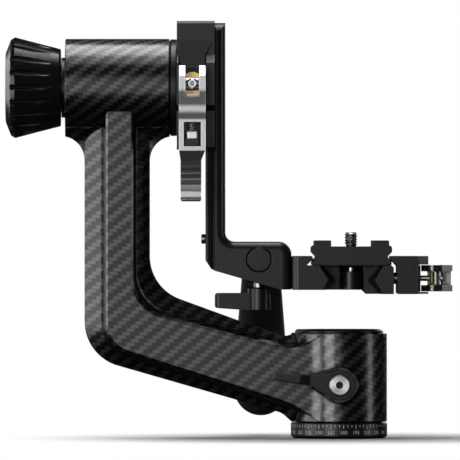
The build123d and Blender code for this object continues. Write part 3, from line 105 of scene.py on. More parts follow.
# --- screw of the pan lock, turned in rings round its socket --------------------------------------
DISC_RING = 0.85 * MM
DISC_SOCKET_R = 1.75 * MM

# --- rings of the grip ----------------------------------------------------------------------------
GRIP_LEAN = 50.0
GRIP_RIB = 1.6 * MM

# --- edges, and painted shade in creases and beside other pieces ----------------------------------
EDGE_R = 0.32 * MM  # wear along the edges of metal and rubber
CARBON_EDGE_R = 0.5 * MM
CREASE_REACH = 2.4 * MM  # how far a neighbouring surface reaches with painted shade on carbon
PART_CREASE_REACH = CREASE_REACH / 2
CREASE_POWER = 1.8
# painted shade: colours fall towards this near-black deep in a crease or beside another piece
PAINTED_SHADE_BLACK = (0.0005, 0.0005, 0.0005, 1.0)

# --- clamp levers, measured from the pivot: out from the clamp, and along the lever to its tip ----
RIBS_FROM = 36.6 * MM
RIB_PITCH = 2.9 * MM
RIB_COUNT = 6
RIB_CREST = 5.9 * MM  # the first rib's height over the pivot
RIB_RISE = 1.6 * MM
RIB_LEAN = 1.0 * MM  # how far a rib falls back over its length, near the lever's face
RIB_LEAN_LOSS = 0.95 * MM  # how much less it falls back at the tip
EAR_OUT = 7.8 * MM
EAR_END = 8.3 * MM
EAR_FROM = 3.0 * MM  # the ears lie further than this behind the pivot
SHARP_DEGREES = 24.0
CLIP_W = 1.4 * MM  # dark clip on both sides of the latch block
CLIP_GAP = 0.1 * MM
CLIP_INSET = 0.4 * MM  # the clips end this far inside the block's ends
CLIP_SUNK = 0.9 * MM
CLIP_EDGE = 0.4 * MM
BLOCK_EDGE = 0.35 * MM

# --- spigot of the collar -------------------------------------------------------------------------
SPIGOT_GAP = 0.04 * MM
SPIGOT_IN_COLLAR = 0.5 * MM
SPIGOT_BELOW = 0.9 * MM  # its rim lies this far inside the barrel's outside
SPIGOT_WALL = 2.0 * MM

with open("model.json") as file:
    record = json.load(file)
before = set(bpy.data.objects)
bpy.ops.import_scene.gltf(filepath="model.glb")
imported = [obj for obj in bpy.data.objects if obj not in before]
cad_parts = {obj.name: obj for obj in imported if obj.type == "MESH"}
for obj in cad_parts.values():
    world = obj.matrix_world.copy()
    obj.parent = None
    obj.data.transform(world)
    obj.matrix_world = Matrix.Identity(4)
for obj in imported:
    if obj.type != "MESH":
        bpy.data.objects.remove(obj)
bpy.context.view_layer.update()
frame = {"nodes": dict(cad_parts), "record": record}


BARREL_Z = (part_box("tilt_barrel")[0].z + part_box("tilt_barrel")[1].z) / 2
BARREL_R = (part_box("tilt_barrel")[1].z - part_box("tilt_barrel")[0].z) / 2
HOUSING_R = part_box("pan_housing")[1].x
BASE_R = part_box("base_ring")[1].x


# --- small node helpers ---------------------------------------------------------------------------
class Tree:
    """A material's node tree with short calls for maths, mixing and links."""

    def __init__(self, name):
        self.material = bpy.data.materials.new(name)
        self.material.use_nodes = True
        self.nodes = self.material.node_tree.nodes
        self.links = self.material.node_tree.links
        self.shader = self.nodes["Principled BSDF"]

    def put(self, socket, value):
        """Links a socket to another one, or sets its plain value."""
        if isinstance(value, bpy.types.NodeSocket):
            self.links.new(value, socket)
        else:
            socket.default_value = value

    def math(self, operation, *values):
        node = self.nodes.new("ShaderNodeMath")
        node.operation = operation
        for socket, value in zip(node.inputs, values):
            self.put(socket, value)
        return node.outputs[0]

    def mix(self, factor, low, high):
        node = self.nodes.new("ShaderNodeMix")
        self.put(node.inputs[0], factor)
        self.put(node.inputs[2], low)
        self.put(node.inputs[3], high)
        return node.outputs[0]

    def blend(self, factor, low, high):
        """Mixes two colours, each a socket or four plain numbers."""
        node = self.nodes.new("ShaderNodeMix")
        node.data_type = "RGBA"
        self.put(node.inputs[0], factor)
        self.put(node.inputs[6], low)
        self.put(node.inputs[7], high)
        return node.outputs[2]

    def mix_colour(self, factor, low, high):
        """Mixes two plain colours of three numbers."""
        return self.blend(factor, (*low, 1.0), (*high, 1.0))

    def object_point(self):
        """The point in the row frame, split in X, Y and Z."""
        coordinates = self.nodes.new("ShaderNodeTexCoord")
        split = self.nodes.new("ShaderNodeSeparateXYZ")
        self.links.new(coordinates.outputs["Object"], split.inputs[0])
        return coordinates, split.outputs

    def noise(self, vector, scale, detail=3.0, roughness=0.5):
        node = self.nodes.new("ShaderNodeTexNoise")
        self.links.new(vector, node.inputs["Vector"])
        node.inputs["Scale"].default_value = scale
        node.inputs["Detail"].default_value = detail
        node.inputs["Roughness"].default_value = roughness
        return node.outputs[0]

    def bump(self, height, strength, distance, edge):
        """Fine relief, on edges that are worn round by the given radius."""
        worn = self.nodes.new("ShaderNodeBevel")
        worn.samples = 6
        worn.inputs["Radius"].default_value = edge
        node = self.nodes.new("ShaderNodeBump")
        self.links.new(worn.outputs[0], node.inputs["Normal"])
        node.inputs["Strength"].default_value = strength
        node.inputs["Distance"].default_value = distance
        self.links.new(height, node.inputs["Height"])
        self.links.new(node.outputs[0], self.shader.inputs["Normal"])

    def open_share(self, reach):
        """Ambient occlusion for painted shade: 1 on an open surface, falling towards 0 in a crease or beside
        another piece within reach.
        """
        node = self.nodes.new("ShaderNodeAmbientOcclusion")
        node.samples = 8
        node.inputs["Distance"].default_value = reach
        return self.math("POWER", node.outputs["AO"], CREASE_POWER)

    def darken(self, share, colour):
        """Painted shade: the colour where share is 1, nearly black where it is 0."""
        return self.blend(share, PAINTED_SHADE_BLACK, colour)

    def set(self, **values):
        """Sets the shader's own sockets; an underscore in a name stands for a space."""
        for name, value in values.items():
            self.put(self.shader.inputs[name.replace("_", " ")], value)
        return self.material


# --- materials ------------------------------------------------------------------------------------
def weave_cells(tree, across, up):
    """Twill from two lengths in tows: (1 where the upright tow is on top, height of the top tow)."""
    column = tree.math("FLOOR", across)
    row = tree.math("FLOOR", up)
    along_up = tree.math("FLOORED_MODULO", tree.math("SUBTRACT", up, column), float(TWILL))
    step = tree.math("FLOORED_MODULO", tree.math("SUBTRACT", row, column), float(TWILL))
    upright = tree.math("LESS_THAN", step, TWILL / 2)
    shifted = tree.math("SUBTRACT", tree.math("SUBTRACT", across, row), 1.0)
    along_across = tree.math("FLOORED_MODULO", shifted, float(TWILL))

    def crown(length):
        """Rises from both ends of a float, where a tow dives under, to its middle."""
        share = tree.math("DIVIDE", length, TWILL / 2)
        return tree.math("MULTIPLY", tree.math("MULTIPLY", share, tree.math("SUBTRACT", 1.0, share)), 4.0)

    def round_tow(length):
        """Rises from both sides of a tow to its middle."""
        middle = tree.math("SUBTRACT", tree.math("FRACT", length), 0.5)
        squared = tree.math("MULTIPLY", tree.math("MULTIPLY", middle, middle), 1.5)
        return tree.math("SUBTRACT", 1.0, squared)

    up_height = tree.math("MULTIPLY", round_tow(across), tree.mix(0.55, 1.0, crown(along_up)))
    across_height = tree.math("MULTIPLY", round_tow(up), tree.mix(0.55, 1.0, crown(along_across)))
    return upright, tree.mix(upright, across_height, up_height)


def carbon(name, place):
    """Glossy 2 x 2 twill with painted sheen on its tows and painted shade in its creases; place gives the two
    lengths on the surface for a tree.
    """
    tree = Tree(name)
    coordinates, point = tree.object_point()
    across, up = place(tree, coordinates, point)
    across = tree.math("DIVIDE", across, TOW_W)
    up = tree.math("DIVIDE", up, TOW_H)
    upright, height = weave_cells(tree, across, up)
    fibres_up = tree.math("SINE", tree.math("MULTIPLY", across, 60.0))
    fibres_across = tree.math("SINE", tree.math("MULTIPLY", up, 60.0))
    fibres = tree.mix(upright, fibres_across, fibres_up)
    # painted sheen: upright tows lighter than crossing ones, every tow lighter on its crown, in place of the
    # fibres' sheen; the twill and relief are real
    tone = tree.math("MULTIPLY_ADD", fibres, 0.06, height)
    dark = tree.mix_colour(tone, (0.001, 0.001, 0.001), (0.010, 0.010, 0.010))
    light = tree.mix_colour(tone, (0.015, 0.015, 0.015), (0.105, 0.105, 0.107))
    # painted shade: colour and coat fade out in creases and beside other pieces
    share = tree.open_share(CREASE_REACH)
    tree.bump(tree.math("MULTIPLY_ADD", fibres, 0.03, height), 0.30, 0.12 * MM, CARBON_EDGE_R)
    return tree.set(
        Base_Color=tree.darken(share, tree.blend(upright, light, dark)),
        Roughness=tree.mix(upright, 0.46, 0.5),
        Metallic=1.0,
        Coat_Weight=share,
        Coat_Roughness=0.22,
        Coat_IOR=1.6,
    )


def round_x(radius, axis_z):
    """Lengths on a barrel whose axis runs along X at height axis_z."""

    def place(tree, coordinates, point):
        angle = tree.math("ARCTAN2", point["Y"], tree.math("SUBTRACT", point["Z"], axis_z))
        return point["X"], tree.math("MULTIPLY", angle, radius)

    return place


def round_z(radius):
    """Lengths on a barrel whose axis is the pan axis."""

    def place(tree, coordinates, point):
        angle = tree.math("ARCTAN2", point["X"], tree.math("MULTIPLY", point["Y"], -1.0))
        return tree.math("MULTIPLY", angle, radius), point["Z"]

    return place


def boxed(tree, coordinates, point):
    """Lengths on the side of a box that the surface faces most."""
    split = tree.nodes.new("ShaderNodeSeparateXYZ")
    tree.links.new(coordinates.outputs["Normal"], split.inputs[0])
    facing = {axis: tree.math("ABSOLUTE", split.outputs[axis]) for axis in "XYZ"}
    sideways = tree.math("GREATER_THAN", facing["X"], tree.math("MULTIPLY", facing["Y"], 1.15))
    flat_up = tree.math(
        "MULTIPLY",
        tree.math("GREATER_THAN", facing["Z"], tree.math("MULTIPLY", facing["Y"], 1.15)),
        tree.math("GREATER_THAN", facing["Z"], facing["X"]),
    )
    across = tree.mix(sideways, point["X"], point["Y"])
    across = tree.mix(flat_up, across, point["X"])
    return across, tree.mix(flat_up, point["Z"], point["Y"])


def blasted(name, colour, metallic, low, high, grain, strength=0.12, speck=0.0):
    """Bead-blasted or moulded surface: a fine grain in its bump, roughness and tone, and painted shade in its
    creases and beside other pieces.
    """
    tree = Tree(name)
    coordinates, point = tree.object_point()
    fine = tree.noise(coordinates.outputs["Object"], grain, 4.0, 0.65)
    broad = tree.noise(coordinates.outputs["Object"], 60.0, 2.0)
    tree.bump(fine, strength, 0.05 * MM, EDGE_R)
    dim = tuple(c * (1 - speck) for c in colour)
    bright = tuple(min(1.0, c * (1 + speck)) for c in colour)
    # painted shade: colour and specular level fall in creases and beside other pieces
    share = tree.open_share(PART_CREASE_REACH)
    return tree.set(
        Specular_IOR_Level=tree.mix(share, 0.03, 0.5),
        Base_Color=tree.darken(share, tree.mix_colour(tree.mix(0.5, fine, broad), dim, bright)),
        Metallic=metallic,
        Roughness=tree.mix(tree.mix(0.5, fine, broad), low, high),
    )


def turned_metal(name, colour, low, high, lines):
    """Machined metal with faint turning lines along every axis, and painted shade in its creases and beside
    other pieces.
    """
    tree = Tree(name)
    coordinates, point = tree.object_point()
    total = tree.math("ADD", point["X"], tree.math("ADD", point["Y"], point["Z"]))
    rings = tree.math("SINE", tree.math("MULTIPLY", total, lines))
    spots = tree.noise(coordinates.outputs["Object"], 900.0)
    tree.bump(tree.mix(0.5, rings, spots), 0.06, 0.02 * MM, EDGE_R)
    dim = tuple(c * 0.9 for c in colour)
    # painted shade: colour falls towards black in creases and beside other pieces
    share = tree.open_share(PART_CREASE_REACH)
    return tree.set(
        Base_Color=tree.darken(share, tree.mix_colour(spots, dim, colour)),
        Metallic=1.0,
        Roughness=tree.mix(spots, low, high),
    )


def turned_disc(name, node):
    """Bright face with turned rings, painted lighter on their crests and darker in their grooves as highlight
    and shade, round a socket painted dark as its shade, for a screw seen along Y.
    """
    tree = Tree(name)
    coordinates, point = tree.object_point()
    low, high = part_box(node)
    across = tree.math("SUBTRACT", point["X"], (low.x + high.x) / 2)
    up = tree.math("SUBTRACT", point["Z"], (low.z + high.z) / 2)
    squares = tree.math("ADD", tree.math("MULTIPLY", across, across), tree.math("MULTIPLY", up, up))
    reach = tree.math("SQRT", squares)
    rings = tree.math("SINE", tree.math("MULTIPLY", reach, FULL_TURN / DISC_RING))
    tree.bump(rings, 0.25, 0.10 * MM, EDGE_R)
    # painted highlight and shade: the rings' crests lighter and their grooves darker
    crest = tree.math("MULTIPLY_ADD", rings, 0.5, 0.5)
    ringed = tree.mix_colour(crest, (0.62, 0.62, 0.62), (0.95, 0.95, 0.95))
    # painted shade: the socket is coloured nearly black
    outside = tree.math("GREATER_THAN", reach, DISC_SOCKET_R)
    fine = tree.noise(coordinates.outputs["Object"], 900.0)
    return tree.set(
        Base_Color=tree.blend(outside, (0.03, 0.03, 0.03, 1.0), ringed),
        Metallic=1.0,
        Roughness=tree.mix(fine, 0.26, 0.38),
    )


def ribbed(name, colour, low, high):
    """Moulded rubber with fine rings across the grip's leaning axis, painted darker in their grooves as shade.
    """
    tree = Tree(name)
    coordinates, point = tree.object_point()
    lean = math.radians(GRIP_LEAN)
    back = tree.math("MULTIPLY", point["Y"], math.sin(lean))
    down = tree.math("SUBTRACT", back, tree.math("MULTIPLY", point["Z"], math.cos(lean)))
    rings = tree.math("SINE", tree.math("MULTIPLY", down, FULL_TURN / GRIP_RIB))
    fine = tree.noise(coordinates.outputs["Object"], 1500.0, 4.0, 0.65)
    tree.bump(tree.mix(0.2, rings, fine), 0.55, 0.25 * MM, EDGE_R)
    # painted shade: the rings' grooves darker than their crests
    dim = tuple(c * 0.6 for c in colour)
    return tree.set(
        Base_Color=tree.mix_colour(tree.math("MULTIPLY_ADD", rings, 0.5, 0.5), dim, colour),
        Roughness=tree.mix(fine, low, high),
    )


anodised = blasted("anodised_black", (0.007, 0.007, 0.0072), 0.0, 0.28, 0.38, 2600.0, 0.06, 0.10)
looks = {
    "carbon": carbon("carbon_arm", boxed),
    "anodised": anodised,
    "satin_metal": blasted("satin_lever", (0.66, 0.66, 0.67), 1.0, 0.24, 0.36, 1800.0, 0.08, 0.05),
    "steel": turned_metal("bright_steel", (0.58, 0.58, 0.57), 0.20, 0.34, 9000.0),
    "chrome": turned_metal("chrome", (0.86, 0.86, 0.86), 0.10, 0.18, 7000.0),
    "brass": turned_metal("brass", (0.80, 0.56, 0.22), 0.20, 0.32, 8000.0),
    "rubber": blasted("knob_rubber", (0.004, 0.004, 0.004), 0.0, 0.17, 0.23, 1500.0, 0.02, 0.15),
    "grip": ribbed("handle_grip_rubber", (0.016, 0.016, 0.016), 0.45, 0.6),
}
own_looks = {
    "pan_lock_screw": turned_disc("lock_disc", "pan_lock_screw"),
    "tilt_barrel": carbon("carbon_barrel", round_x(BARREL_R, BARREL_Z)),
    "pan_housing": carbon("carbon_housing", round_z(HOUSING_R)),
}
for row in frame["record"]["subparts"]:
    node = frame["nodes"][row["node"]]
    node.data.materials.clear()
    node.data.materials.append(own_looks.get(row["node"], looks[row["material_slot"]]))

paint = blasted("white_marks", (0.75, 0.75, 0.75), 0.0, 0.45, 0.6, 900.0, 0.03, 0.03)


# --- mesh helpers ---------------------------------------------------------------------------------
def finish_mesh(name, mesh, material, body):
    """Puts a mesh in the scene as one piece on its CAD body."""
    piece = bpy.data.objects.new(name, mesh)
    bpy.context.collection.objects.link(piece)
    mesh.materials.clear()
    mesh.materials.append(material)
    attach(piece, body)
    return piece


def mesh_from(work, name, smooth=False):
    """Turns a bmesh into a mesh with outward faces."""
    bmesh.ops.recalc_face_normals(work, faces=work.faces)
    mesh = bpy.data.meshes.new(name)
    work.to_mesh(mesh)
    work.free()
    for face in mesh.polygons:
        face.use_smooth = smooth
    return mesh


def on_ring(across, height, out, angle):
    """Point on the base ring, across and height measured from a place at this angle from the front."""
    turn = angle + across / BASE_R
    reach = BASE_R + out
    return Vector((reach * math.sin(turn), -reach * math.cos(turn), height))


def raise_from_ring(work, faces):
    """Gives flat faces on the ring a thickness that reaches into it."""
    made = bmesh.ops.extrude_face_region(work, geom=faces)
    for vertex in [v for v in made["geom"] if isinstance(v, bmesh.types.BMVert)]:
        flat = Vector((vertex.co.x, vertex.co.y, 0)).normalized()
        vertex.co -= flat * 2 * PAINT


# --- marks on the base ring -----------------------------------------------------------------------
def ring_ticks():
    work = bmesh.new()
    for count in range(360 // TICK_STEP):
        length = TICK_SHORT if count % TICKS_PER_LABEL else TICK_LONG
        angle = math.radians(count * TICK_STEP - DIAL_FRONT)
        half = TICK_WIDTH / 2
        outline = [(-half, TICK_TOP - length), (half, TICK_TOP - length), (half, TICK_TOP), (-half, TICK_TOP)]
        verts = [work.verts.new(on_ring(across, height, PAINT, angle)) for across, height in outline]
        work.faces.new(verts)
    raise_from_ring(work, list(work.faces))
    return finish_mesh("ring_ticks", mesh_from(work, "ring_ticks"), paint, "base")


def ring_numbers():
    work = bmesh.new()
    for reading in range(0, 360, TICK_STEP * TICKS_PER_LABEL):
        text = bpy.data.curves.new(f"reading_{reading}", "FONT")
        text.body = str(reading)
        text.size = DIGIT_HEIGHT * 1.42
        text.align_x = "CENTER"
        text.resolution_u = 3
        holder = bpy.data.objects.new(f"reading_{reading}", text)
        bpy.context.collection.objects.link(holder)
        bpy.context.view_layer.update()
        flat = bpy.data.meshes.new_from_object(holder.evaluated_get(bpy.context.evaluated_depsgraph_get()))
        bpy.data.objects.remove(holder)
        bpy.data.curves.remove(text)
        angle = math.radians(reading - DIAL_FRONT)
        for vertex in flat.vertices:
            vertex.co = on_ring(vertex.co.x, DIGIT_LOW + vertex.co.y, PAINT, angle)
        work.from_mesh(flat)
        bpy.data.meshes.remove(flat)
    raise_from_ring(work, list(work.faces))
    return finish_mesh("ring_numbers", mesh_from(work, "ring_numbers"), paint, "base")


# --- camera screw ---------------------------------------------------------------------------------
def threaded_rod(work, centre, low, high, outer):
    """Adds a rod with one continuous V thread between two heights, fading out at both ends."""
    around = 48
    per_pitch = 10
    steps = round((high - low) / CAMERA_PITCH * per_pitch)
    rings = []
    for step in range(steps + 1):
        height = low + (high - low) * step / steps
        fade = min(1.0, min(height - low, high - height) / (0.6 * CAMERA_PITCH))
        ring = []
        for spoke in range(around):
            turn = FULL_TURN * spoke / around
            phase = ((height - low) / CAMERA_PITCH - spoke / around) % 1.0
            crest = max(0.0, 1 - abs(phase - 0.5) * 2 * 1.15)
            radius = outer - THREAD_DEPTH + THREAD_DEPTH * min(crest, 0.9) / 0.9 * fade
            place = (centre.x + radius * math.cos(turn), centre.y + radius * math.sin(turn), height)
            ring.append(work.verts.new(place))
        rings.append(ring)
    for below, above in zip(rings, rings[1:]):
        for spoke in range(around):
            other = (spoke + 1) % around
            work.faces.new((below[spoke], below[other], above[other], above[spoke]))
    work.faces.new(rings[-1])
    work.faces.new(list(reversed(rings[0])))


def camera_screw():
    """The CAD screw's head and neck with a real thread above them."""
    low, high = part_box("camera_screw")
    centre = (low + high) / 2
    node = frame["nodes"]["camera_screw"]
    thread_low = high.z - CAMERA_THREAD_LEN
    work = bmesh.new()
    work.from_mesh(node.data)
    bmesh.ops.bisect_plane(
        work,
        geom=[*work.verts, *work.edges, *work.faces],
        plane_co=(0, 0, thread_low + THREAD_OVERLAP),
        plane_no=(0, 0, 1),
        clear_outer=True,
    )
    threaded_rod(work, centre, thread_low, high.z, CAMERA_THREAD_R)
    name = "camera_screw_threaded"
    piece = finish_mesh(name, mesh_from(work, name), looks["steel"], "camera_screw")
    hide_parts("camera_screw")
    return piece


# --- springs in the lever windows -----------------------------------------------------------------
def coil(name, start, end, body):
    """Compression spring between two points."""
    axis = end - start
    length = axis.length
    turn_to = axis.to_track_quat("Z", "Y")
    around, per_turn = 8, 20
    steps = SPRING_TURNS * per_turn
    work = bmesh.new()
    rings = []
    for step in range(steps + 1):
        angle = FULL_TURN * step / per_turn
        height = SPRING_WIRE + (length - 2 * SPRING_WIRE) * step / steps
        middle = Vector((SPRING_R * math.cos(angle), SPRING_R * math.sin(angle), height))
        out = Vector((math.cos(angle), math.sin(angle), 0))
        ring = []
        for spoke in range(around):
            lean = FULL_TURN * spoke / around
            point = middle + out * SPRING_WIRE * math.cos(lean) + Vector((0, 0, SPRING_WIRE * math.sin(lean)))
            ring.append(work.verts.new(start + turn_to @ point))
        rings.append(ring)
    for below, above in zip(rings, rings[1:]):
        for spoke in range(around):
            other = (spoke + 1) % around
            work.faces.new((below[spoke], below[other], above[other], above[spoke]))
    work.faces.new(rings[-1])
    work.faces.new(list(reversed(rings[0])))
    piece = finish_mesh(name, mesh_from(work, name, smooth=True), looks["steel"], body)
    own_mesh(piece)
    return piece


# --- clamp levers ---------------------------------------------------------------------------------
class LeverSpace:
    """A clamp lever's own directions: out from its clamp, along to its tip, and across its width."""

    def __init__(self, kind):
        low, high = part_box(f"{kind}_cross_pin")
        self.pivot = (low + high) / 2
        self.out = Vector((0, -1, 0)) if kind == "upper" else Vector((1, 0, 0))
        self.along = Vector((0, 0, -1)) if kind == "upper" else Vector((0, 1, 0))
        self.across = Vector((1, 0, 0)) if kind == "upper" else Vector((0, 0, 1))

    def measure(self, point):
        arm = point - self.pivot
        return arm.dot(self.out), arm.dot(self.along), arm.dot(self.across)

    def place(self, out, along, across):
        return self.pivot + self.out * out + self.along * along + self.across * across


def rib_height(along):
    """Height of the finger's saw-toothed ribs; each falls back towards the tip, the last ones hardly."""
    count = min(RIB_COUNT - 1, math.floor((along - RIBS_FROM) / RIB_PITCH - 0.05))
    share = (along - RIBS_FROM) / RIB_PITCH - count
    crest = RIB_CREST + RIB_RISE * (count / RIB_COUNT) ** 2
    lean = RIB_LEAN - RIB_LEAN_LOSS * (count / (RIB_COUNT - 1)) ** 2
    return crest - lean * (share - 0.1) / 0.9


def clamp_lever(kind):
    """The CAD lever with saw-toothed ribs, and with flat ends to the lower one's ears."""
    space = LeverSpace(kind)
    node = frame["nodes"][f"{kind}_lever"]
    work = bmesh.new()
    work.from_mesh(node.data)
    ribs_to = RIBS_FROM + RIB_COUNT * RIB_PITCH
    for vertex in work.verts:
        out, along, across = space.measure(vertex.co)
        if RIBS_FROM + 0.1 * MM < along < ribs_to + 0.05 * MM and out > RIB_CREST - MM:
            vertex.co = space.place(rib_height(along), along, across)
        elif kind == "lower" and out > EAR_OUT - 0.05 * MM and along < -EAR_FROM:
            vertex.co = space.place(out, -EAR_END, across)
    name = f"{kind}_lever_ribbed"
    mesh = mesh_from(work, name, smooth=True)
    mesh.set_sharp_from_angle(angle=math.radians(SHARP_DEGREES))
    piece = finish_mesh(name, mesh, looks["satin_metal"], f"{kind}_lever")
    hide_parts(f"{kind}_lever")


def worn_box(work, space, low, high, edge):
    """Box with bevelled edges between two corners in a lever's own directions."""
    made = bmesh.ops.create_cube(work, size=1.0)["verts"]
    middle = [(a + b) / 2 for a, b in zip(low, high)]
    size = [b - a for a, b in zip(low, high)]
    for vertex in made:
        vertex.co = space.place(*[middle[i] + size[i] * vertex.co[i] for i in range(3)])
    edges = {line for vertex in made for line in vertex.link_edges}
    bmesh.ops.bevel(work, geom=list(edges), offset=edge, segments=2, affect="EDGES")


def latch_block(kind):
    """Silver block in the lever's window between two dark clips."""
    space = LeverSpace(kind)
    corners_cad = [space.measure(Vector(corner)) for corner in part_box(f"{kind}_latch_block")]
    low = [min(a, b) for a, b in zip(*corners_cad)]
    high = [max(a, b) for a, b in zip(*corners_cad)]
    inner = high[2] - CLIP_W
    block = bmesh.new()
    worn_box(block, space, (low[0], low[1], -inner), (high[0], high[1], inner), BLOCK_EDGE)
    name = f"{kind}_latch_core"
    piece = finish_mesh(name, mesh_from(block, name), looks["chrome"], f"{kind}_latch")
    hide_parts(f"{kind}_latch_block")
    clips = bmesh.new()
    for side in (-1, 1):
        ends = sorted((side * (inner + CLIP_GAP), side * high[2]))
        clip_low = (low[0], low[1] + CLIP_INSET, ends[0])
        clip_high = (high[0] - CLIP_SUNK, high[1] - CLIP_INSET, ends[1])
        worn_box(clips, space, clip_low, clip_high, CLIP_EDGE)
    name = f"{kind}_latch_clips"
    finish_mesh(name, mesh_from(clips, name), anodised, f"{kind}_latch")


# --- spigot between barrel and collar -------------------------------------------------------------
def collar_spigot():
    """The collar's low rim that closes the gap to the barrel's end."""
    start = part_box("tilt_barrel")[1].x + SPIGOT_GAP
    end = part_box("tilt_collar")[0].x + SPIGOT_IN_COLLAR
    rim = BARREL_R - SPIGOT_BELOW
    inside = rim - SPIGOT_WALL
    profile = [(start, inside), (start, rim), (end, rim), (end, inside)]
    around = 96
    work = bmesh.new()
    rings = []
    for spoke in range(around):
        turn = FULL_TURN * spoke / around
        ring = []
        for x, radius in profile:
            place = (x, radius * math.sin(turn), BARREL_Z + radius * math.cos(turn))
            ring.append(work.verts.new(place))
        rings.append(ring)
    for spoke in range(around):
        here, there = rings[spoke], rings[(spoke + 1) % around]
        for corner in range(4):
            other = (corner + 1) % 4
            work.faces.new((here[corner], here[other], there[other], there[corner]))
    finish_mesh("collar_spigot", mesh_from(work, "collar_spigot"), anodised, "cradle")


for kind in ("upper", "lower"):
    clamp_lever(kind)
    latch_block(kind)
collar_spigot()
ring_ticks()
ring_numbers()
camera_screw()
for kind, away in (("upper", Vector((0, 0, 1))), ("lower", Vector((0, -1, 0)))):
    low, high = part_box(f"{kind}_latch_block")
    middle = (low + high) / 2
    half = abs((high - low).dot(away)) / 2
    start = middle + away * half
    coil(f"{kind}_latch_spring", start, start + away * WINDOW_ROOM, f"{kind}_lever")


# --- studio ---------------------------------------------------------------------------------------
MIDDLE = Vector((VIEW_X, 0, VIEW_Z))


def floor_paper():
    """Pale paper that keeps the shadow under the object and turns plain white around it."""
    tree = Tree("floor_paper")
    coordinates, point = tree.object_point()
    mottle = tree.noise(coordinates.outputs["Object"], 8.0)
    tree.set(Base_Color=tree.mix_colour(mottle, (0.60, 0.60, 0.60), (0.62, 0.62, 0.62)), Roughness=0.8)
    across = tree.math("MULTIPLY", point["X"], point["X"])
    along = tree.math("MULTIPLY", point["Y"], point["Y"])
    reach = tree.math("SQRT", tree.math("ADD", across, along))
    fade = tree.nodes.new("ShaderNodeMapRange")
    fade.interpolation_type = "SMOOTHSTEP"
    tree.put(fade.inputs["Value"], reach)
    fade.inputs["From Min"].default_value = SHADOW_FROM
    fade.inputs["From Max"].default_value = SHADOW_TO
    path = tree.nodes.new("ShaderNodeLightPath")
    white = tree.nodes.new("ShaderNodeEmission")
    blend = tree.nodes.new("ShaderNodeMixShader")
    tree.links.new(tree.math("MULTIPLY", fade.outputs[0], path.outputs["Is Camera Ray"]), blend.inputs[0])
    tree.links.new(tree.shader.outputs[0], blend.inputs[1])
    tree.links.new(white.outputs[0], blend.inputs[2])
    tree.links.new(blend.outputs[0], tree.nodes["Material Output"].inputs["Surface"])
    return tree.material


def glow(name, level):
    """A card's material: an even grey glow with a faint mottle."""
    tree = Tree(name)
    coordinates, point = tree.object_point()
    mottle = tree.noise(coordinates.outputs["Object"], 2.0)
    return tree.set(
        Base_Color=(0, 0, 0, 1),
        Specular_IOR_Level=0.0,
        Emission_Color=tree.mix_colour(mottle, (level * 0.9,) * 3, (level * 1.1,) * 3),
        Emission_Strength=1.0,
    )


def panel(name, centre, size, look_at, material):
    """Flat rectangle that faces a point; part of the studio."""
    half_w, half_h = size[0] / 2, size[1] / 2
    mesh = bpy.data.meshes.new(name)
    corners_flat = [(-half_w, -half_h, 0), (half_w, -half_h, 0), (half_w, half_h, 0), (-half_w, half_h, 0)]
    mesh.from_pydata(corners_flat, [], [(0, 1, 2, 3)])
    mesh.materials.append(material)
    board = bpy.data.objects.new(name, mesh)
    bpy.context.collection.objects.link(board)
    board.location = centre
    board.rotation_mode = "QUATERNION"
    board.rotation_quaternion = (Vector(look_at) - Vector(centre)).to_track_quat("Z", "Y")
    board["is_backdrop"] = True
    return board


def card(name, offset, size, level):
    """Grey card that only reflections see; it faces the object's middle."""
    centre = MIDDLE + Vector(offset)
    aim = Vector([centre[i] if abs(offset[i]) < ROOM / 2 else MIDDLE[i] for i in range(3)])
    board = panel(name, centre, size, aim, glow(name, level))
    board.visible_camera = False
    board.visible_diffuse = False
    board.visible_shadow = False
    board.visible_transmission = False


def softbox(name, azimuth, elevation, distance, size, radiance):
    """Area lamp that faces the object; azimuth 0 is the camera's side and falls to the left."""
    data = bpy.data.lights.new(name, "AREA")
    data.shape = "RECTANGLE"
    data.size, data.size_y = size
    data.energy = radiance * math.pi * size[0] * size[1]
    lamp = bpy.data.objects.new(name, data)
    bpy.context.collection.objects.link(lamp)
    turn, rise = math.radians(azimuth), math.radians(elevation)
    out = Vector((math.sin(turn) * math.cos(rise), -math.cos(turn) * math.cos(rise), math.sin(rise)))
    lamp.location = MIDDLE + out * distance
    lamp.rotation_mode = "QUATERNION"
    lamp.rotation_quaternion = out.to_track_quat("Z", "Y")
    lamp.visible_camera = False
    return lamp


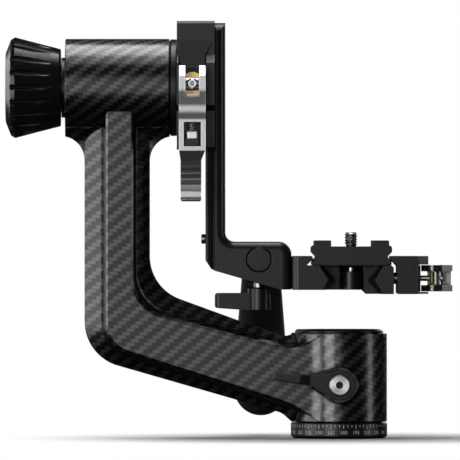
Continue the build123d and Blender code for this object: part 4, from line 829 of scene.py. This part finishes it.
def studio():
    floor_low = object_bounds()[0].z - FLOOR_GAP
    floor = panel("floor", (0, 0, floor_low), (FLOOR_SIZE, FLOOR_SIZE), (0, 0, 1), floor_paper())
    floor.visible_glossy = False
    card("front_card", (0, -ROOM, 0), CARD_SIZE, 0.03)
    card("right_card", (ROOM, 0, 0), CARD_SIZE, 0.015)
    card("left_card", (-ROOM, 0, 0), CARD_SIZE, 0.03)
    card("ceiling_card", (0, 0, ROOM), CARD_SIZE, 0.03)
    card("under_card", (0, 0, -ROOM / 2 - 0.1), CARD_SIZE, 0.015)
    card("back_card", (0, ROOM, 0), CARD_SIZE, 0.02)
    softbox("top_softbox", 180, 81, 1.1, (0.5, 0.72), 5.0)
    softbox("high_softbox", 0, 69, 1.2, (0.5, 0.42), 1.3)
    softbox("left_softbox", -71, 4, 1.3, (0.86, 0.8), 2.8)
    softbox("front_left_softbox", -22, 3, 1.5, (0.60, 0.7), 4.6)
    softbox("front_softbox", 0, 8, 1.5, (0.28, 1.1), 0.8)
    softbox("right_softbox", 80, 4, 1.3, (0.30, 0.8), 1.8)
    softbox("back_left_softbox", -138, 14, 1.4, (0.6, 0.8), 1.6)
    softbox("back_right_softbox", 158, 16, 1.4, (0.5, 0.8), 2.2)
    world = bpy.data.worlds.new("studio")
    bpy.context.scene.world = world
    world.use_nodes = True
    nodes, links = world.node_tree.nodes, world.node_tree.links
    background = nodes["Background"]
    background.inputs["Color"].default_value = (1, 1, 1, 1)
    path = nodes.new("ShaderNodeLightPath")
    seen = nodes.new("ShaderNodeMath")
    seen.operation = "MAXIMUM"
    links.new(path.outputs["Is Camera Ray"], seen.inputs[0])
    links.new(path.outputs["Is Glossy Ray"], seen.inputs[1])
    clear = nodes.new("ShaderNodeMath")
    clear.operation = "MAXIMUM"
    links.new(seen.outputs[0], clear.inputs[0])
    links.new(path.outputs["Is Transmission Ray"], clear.inputs[1])
    strength = nodes.new("ShaderNodeMapRange")
    strength.inputs["To Min"].default_value = WORLD_FILL
    strength.inputs["To Max"].default_value = 1.0
    links.new(clear.outputs[0], strength.inputs["Value"])
    links.new(strength.outputs[0], background.inputs["Strength"])


def photo_camera():
    data = bpy.data.cameras.new("photo_camera")
    data.sensor_width = SENSOR
    data.lens = SENSOR * VIEW_DISTANCE / VIEW_WIDTH
    data.clip_start, data.clip_end = 0.05, 20.0
    camera = bpy.data.objects.new("photo_camera", data)
    bpy.context.collection.objects.link(camera)
    camera.location = (VIEW_X, -VIEW_DISTANCE, VIEW_Z)
    camera.rotation_euler = (math.pi / 2, 0, 0)
    bpy.context.scene.camera = camera


studio()
photo_camera()
bpy.context.scene.view_settings.view_transform = "Standard"
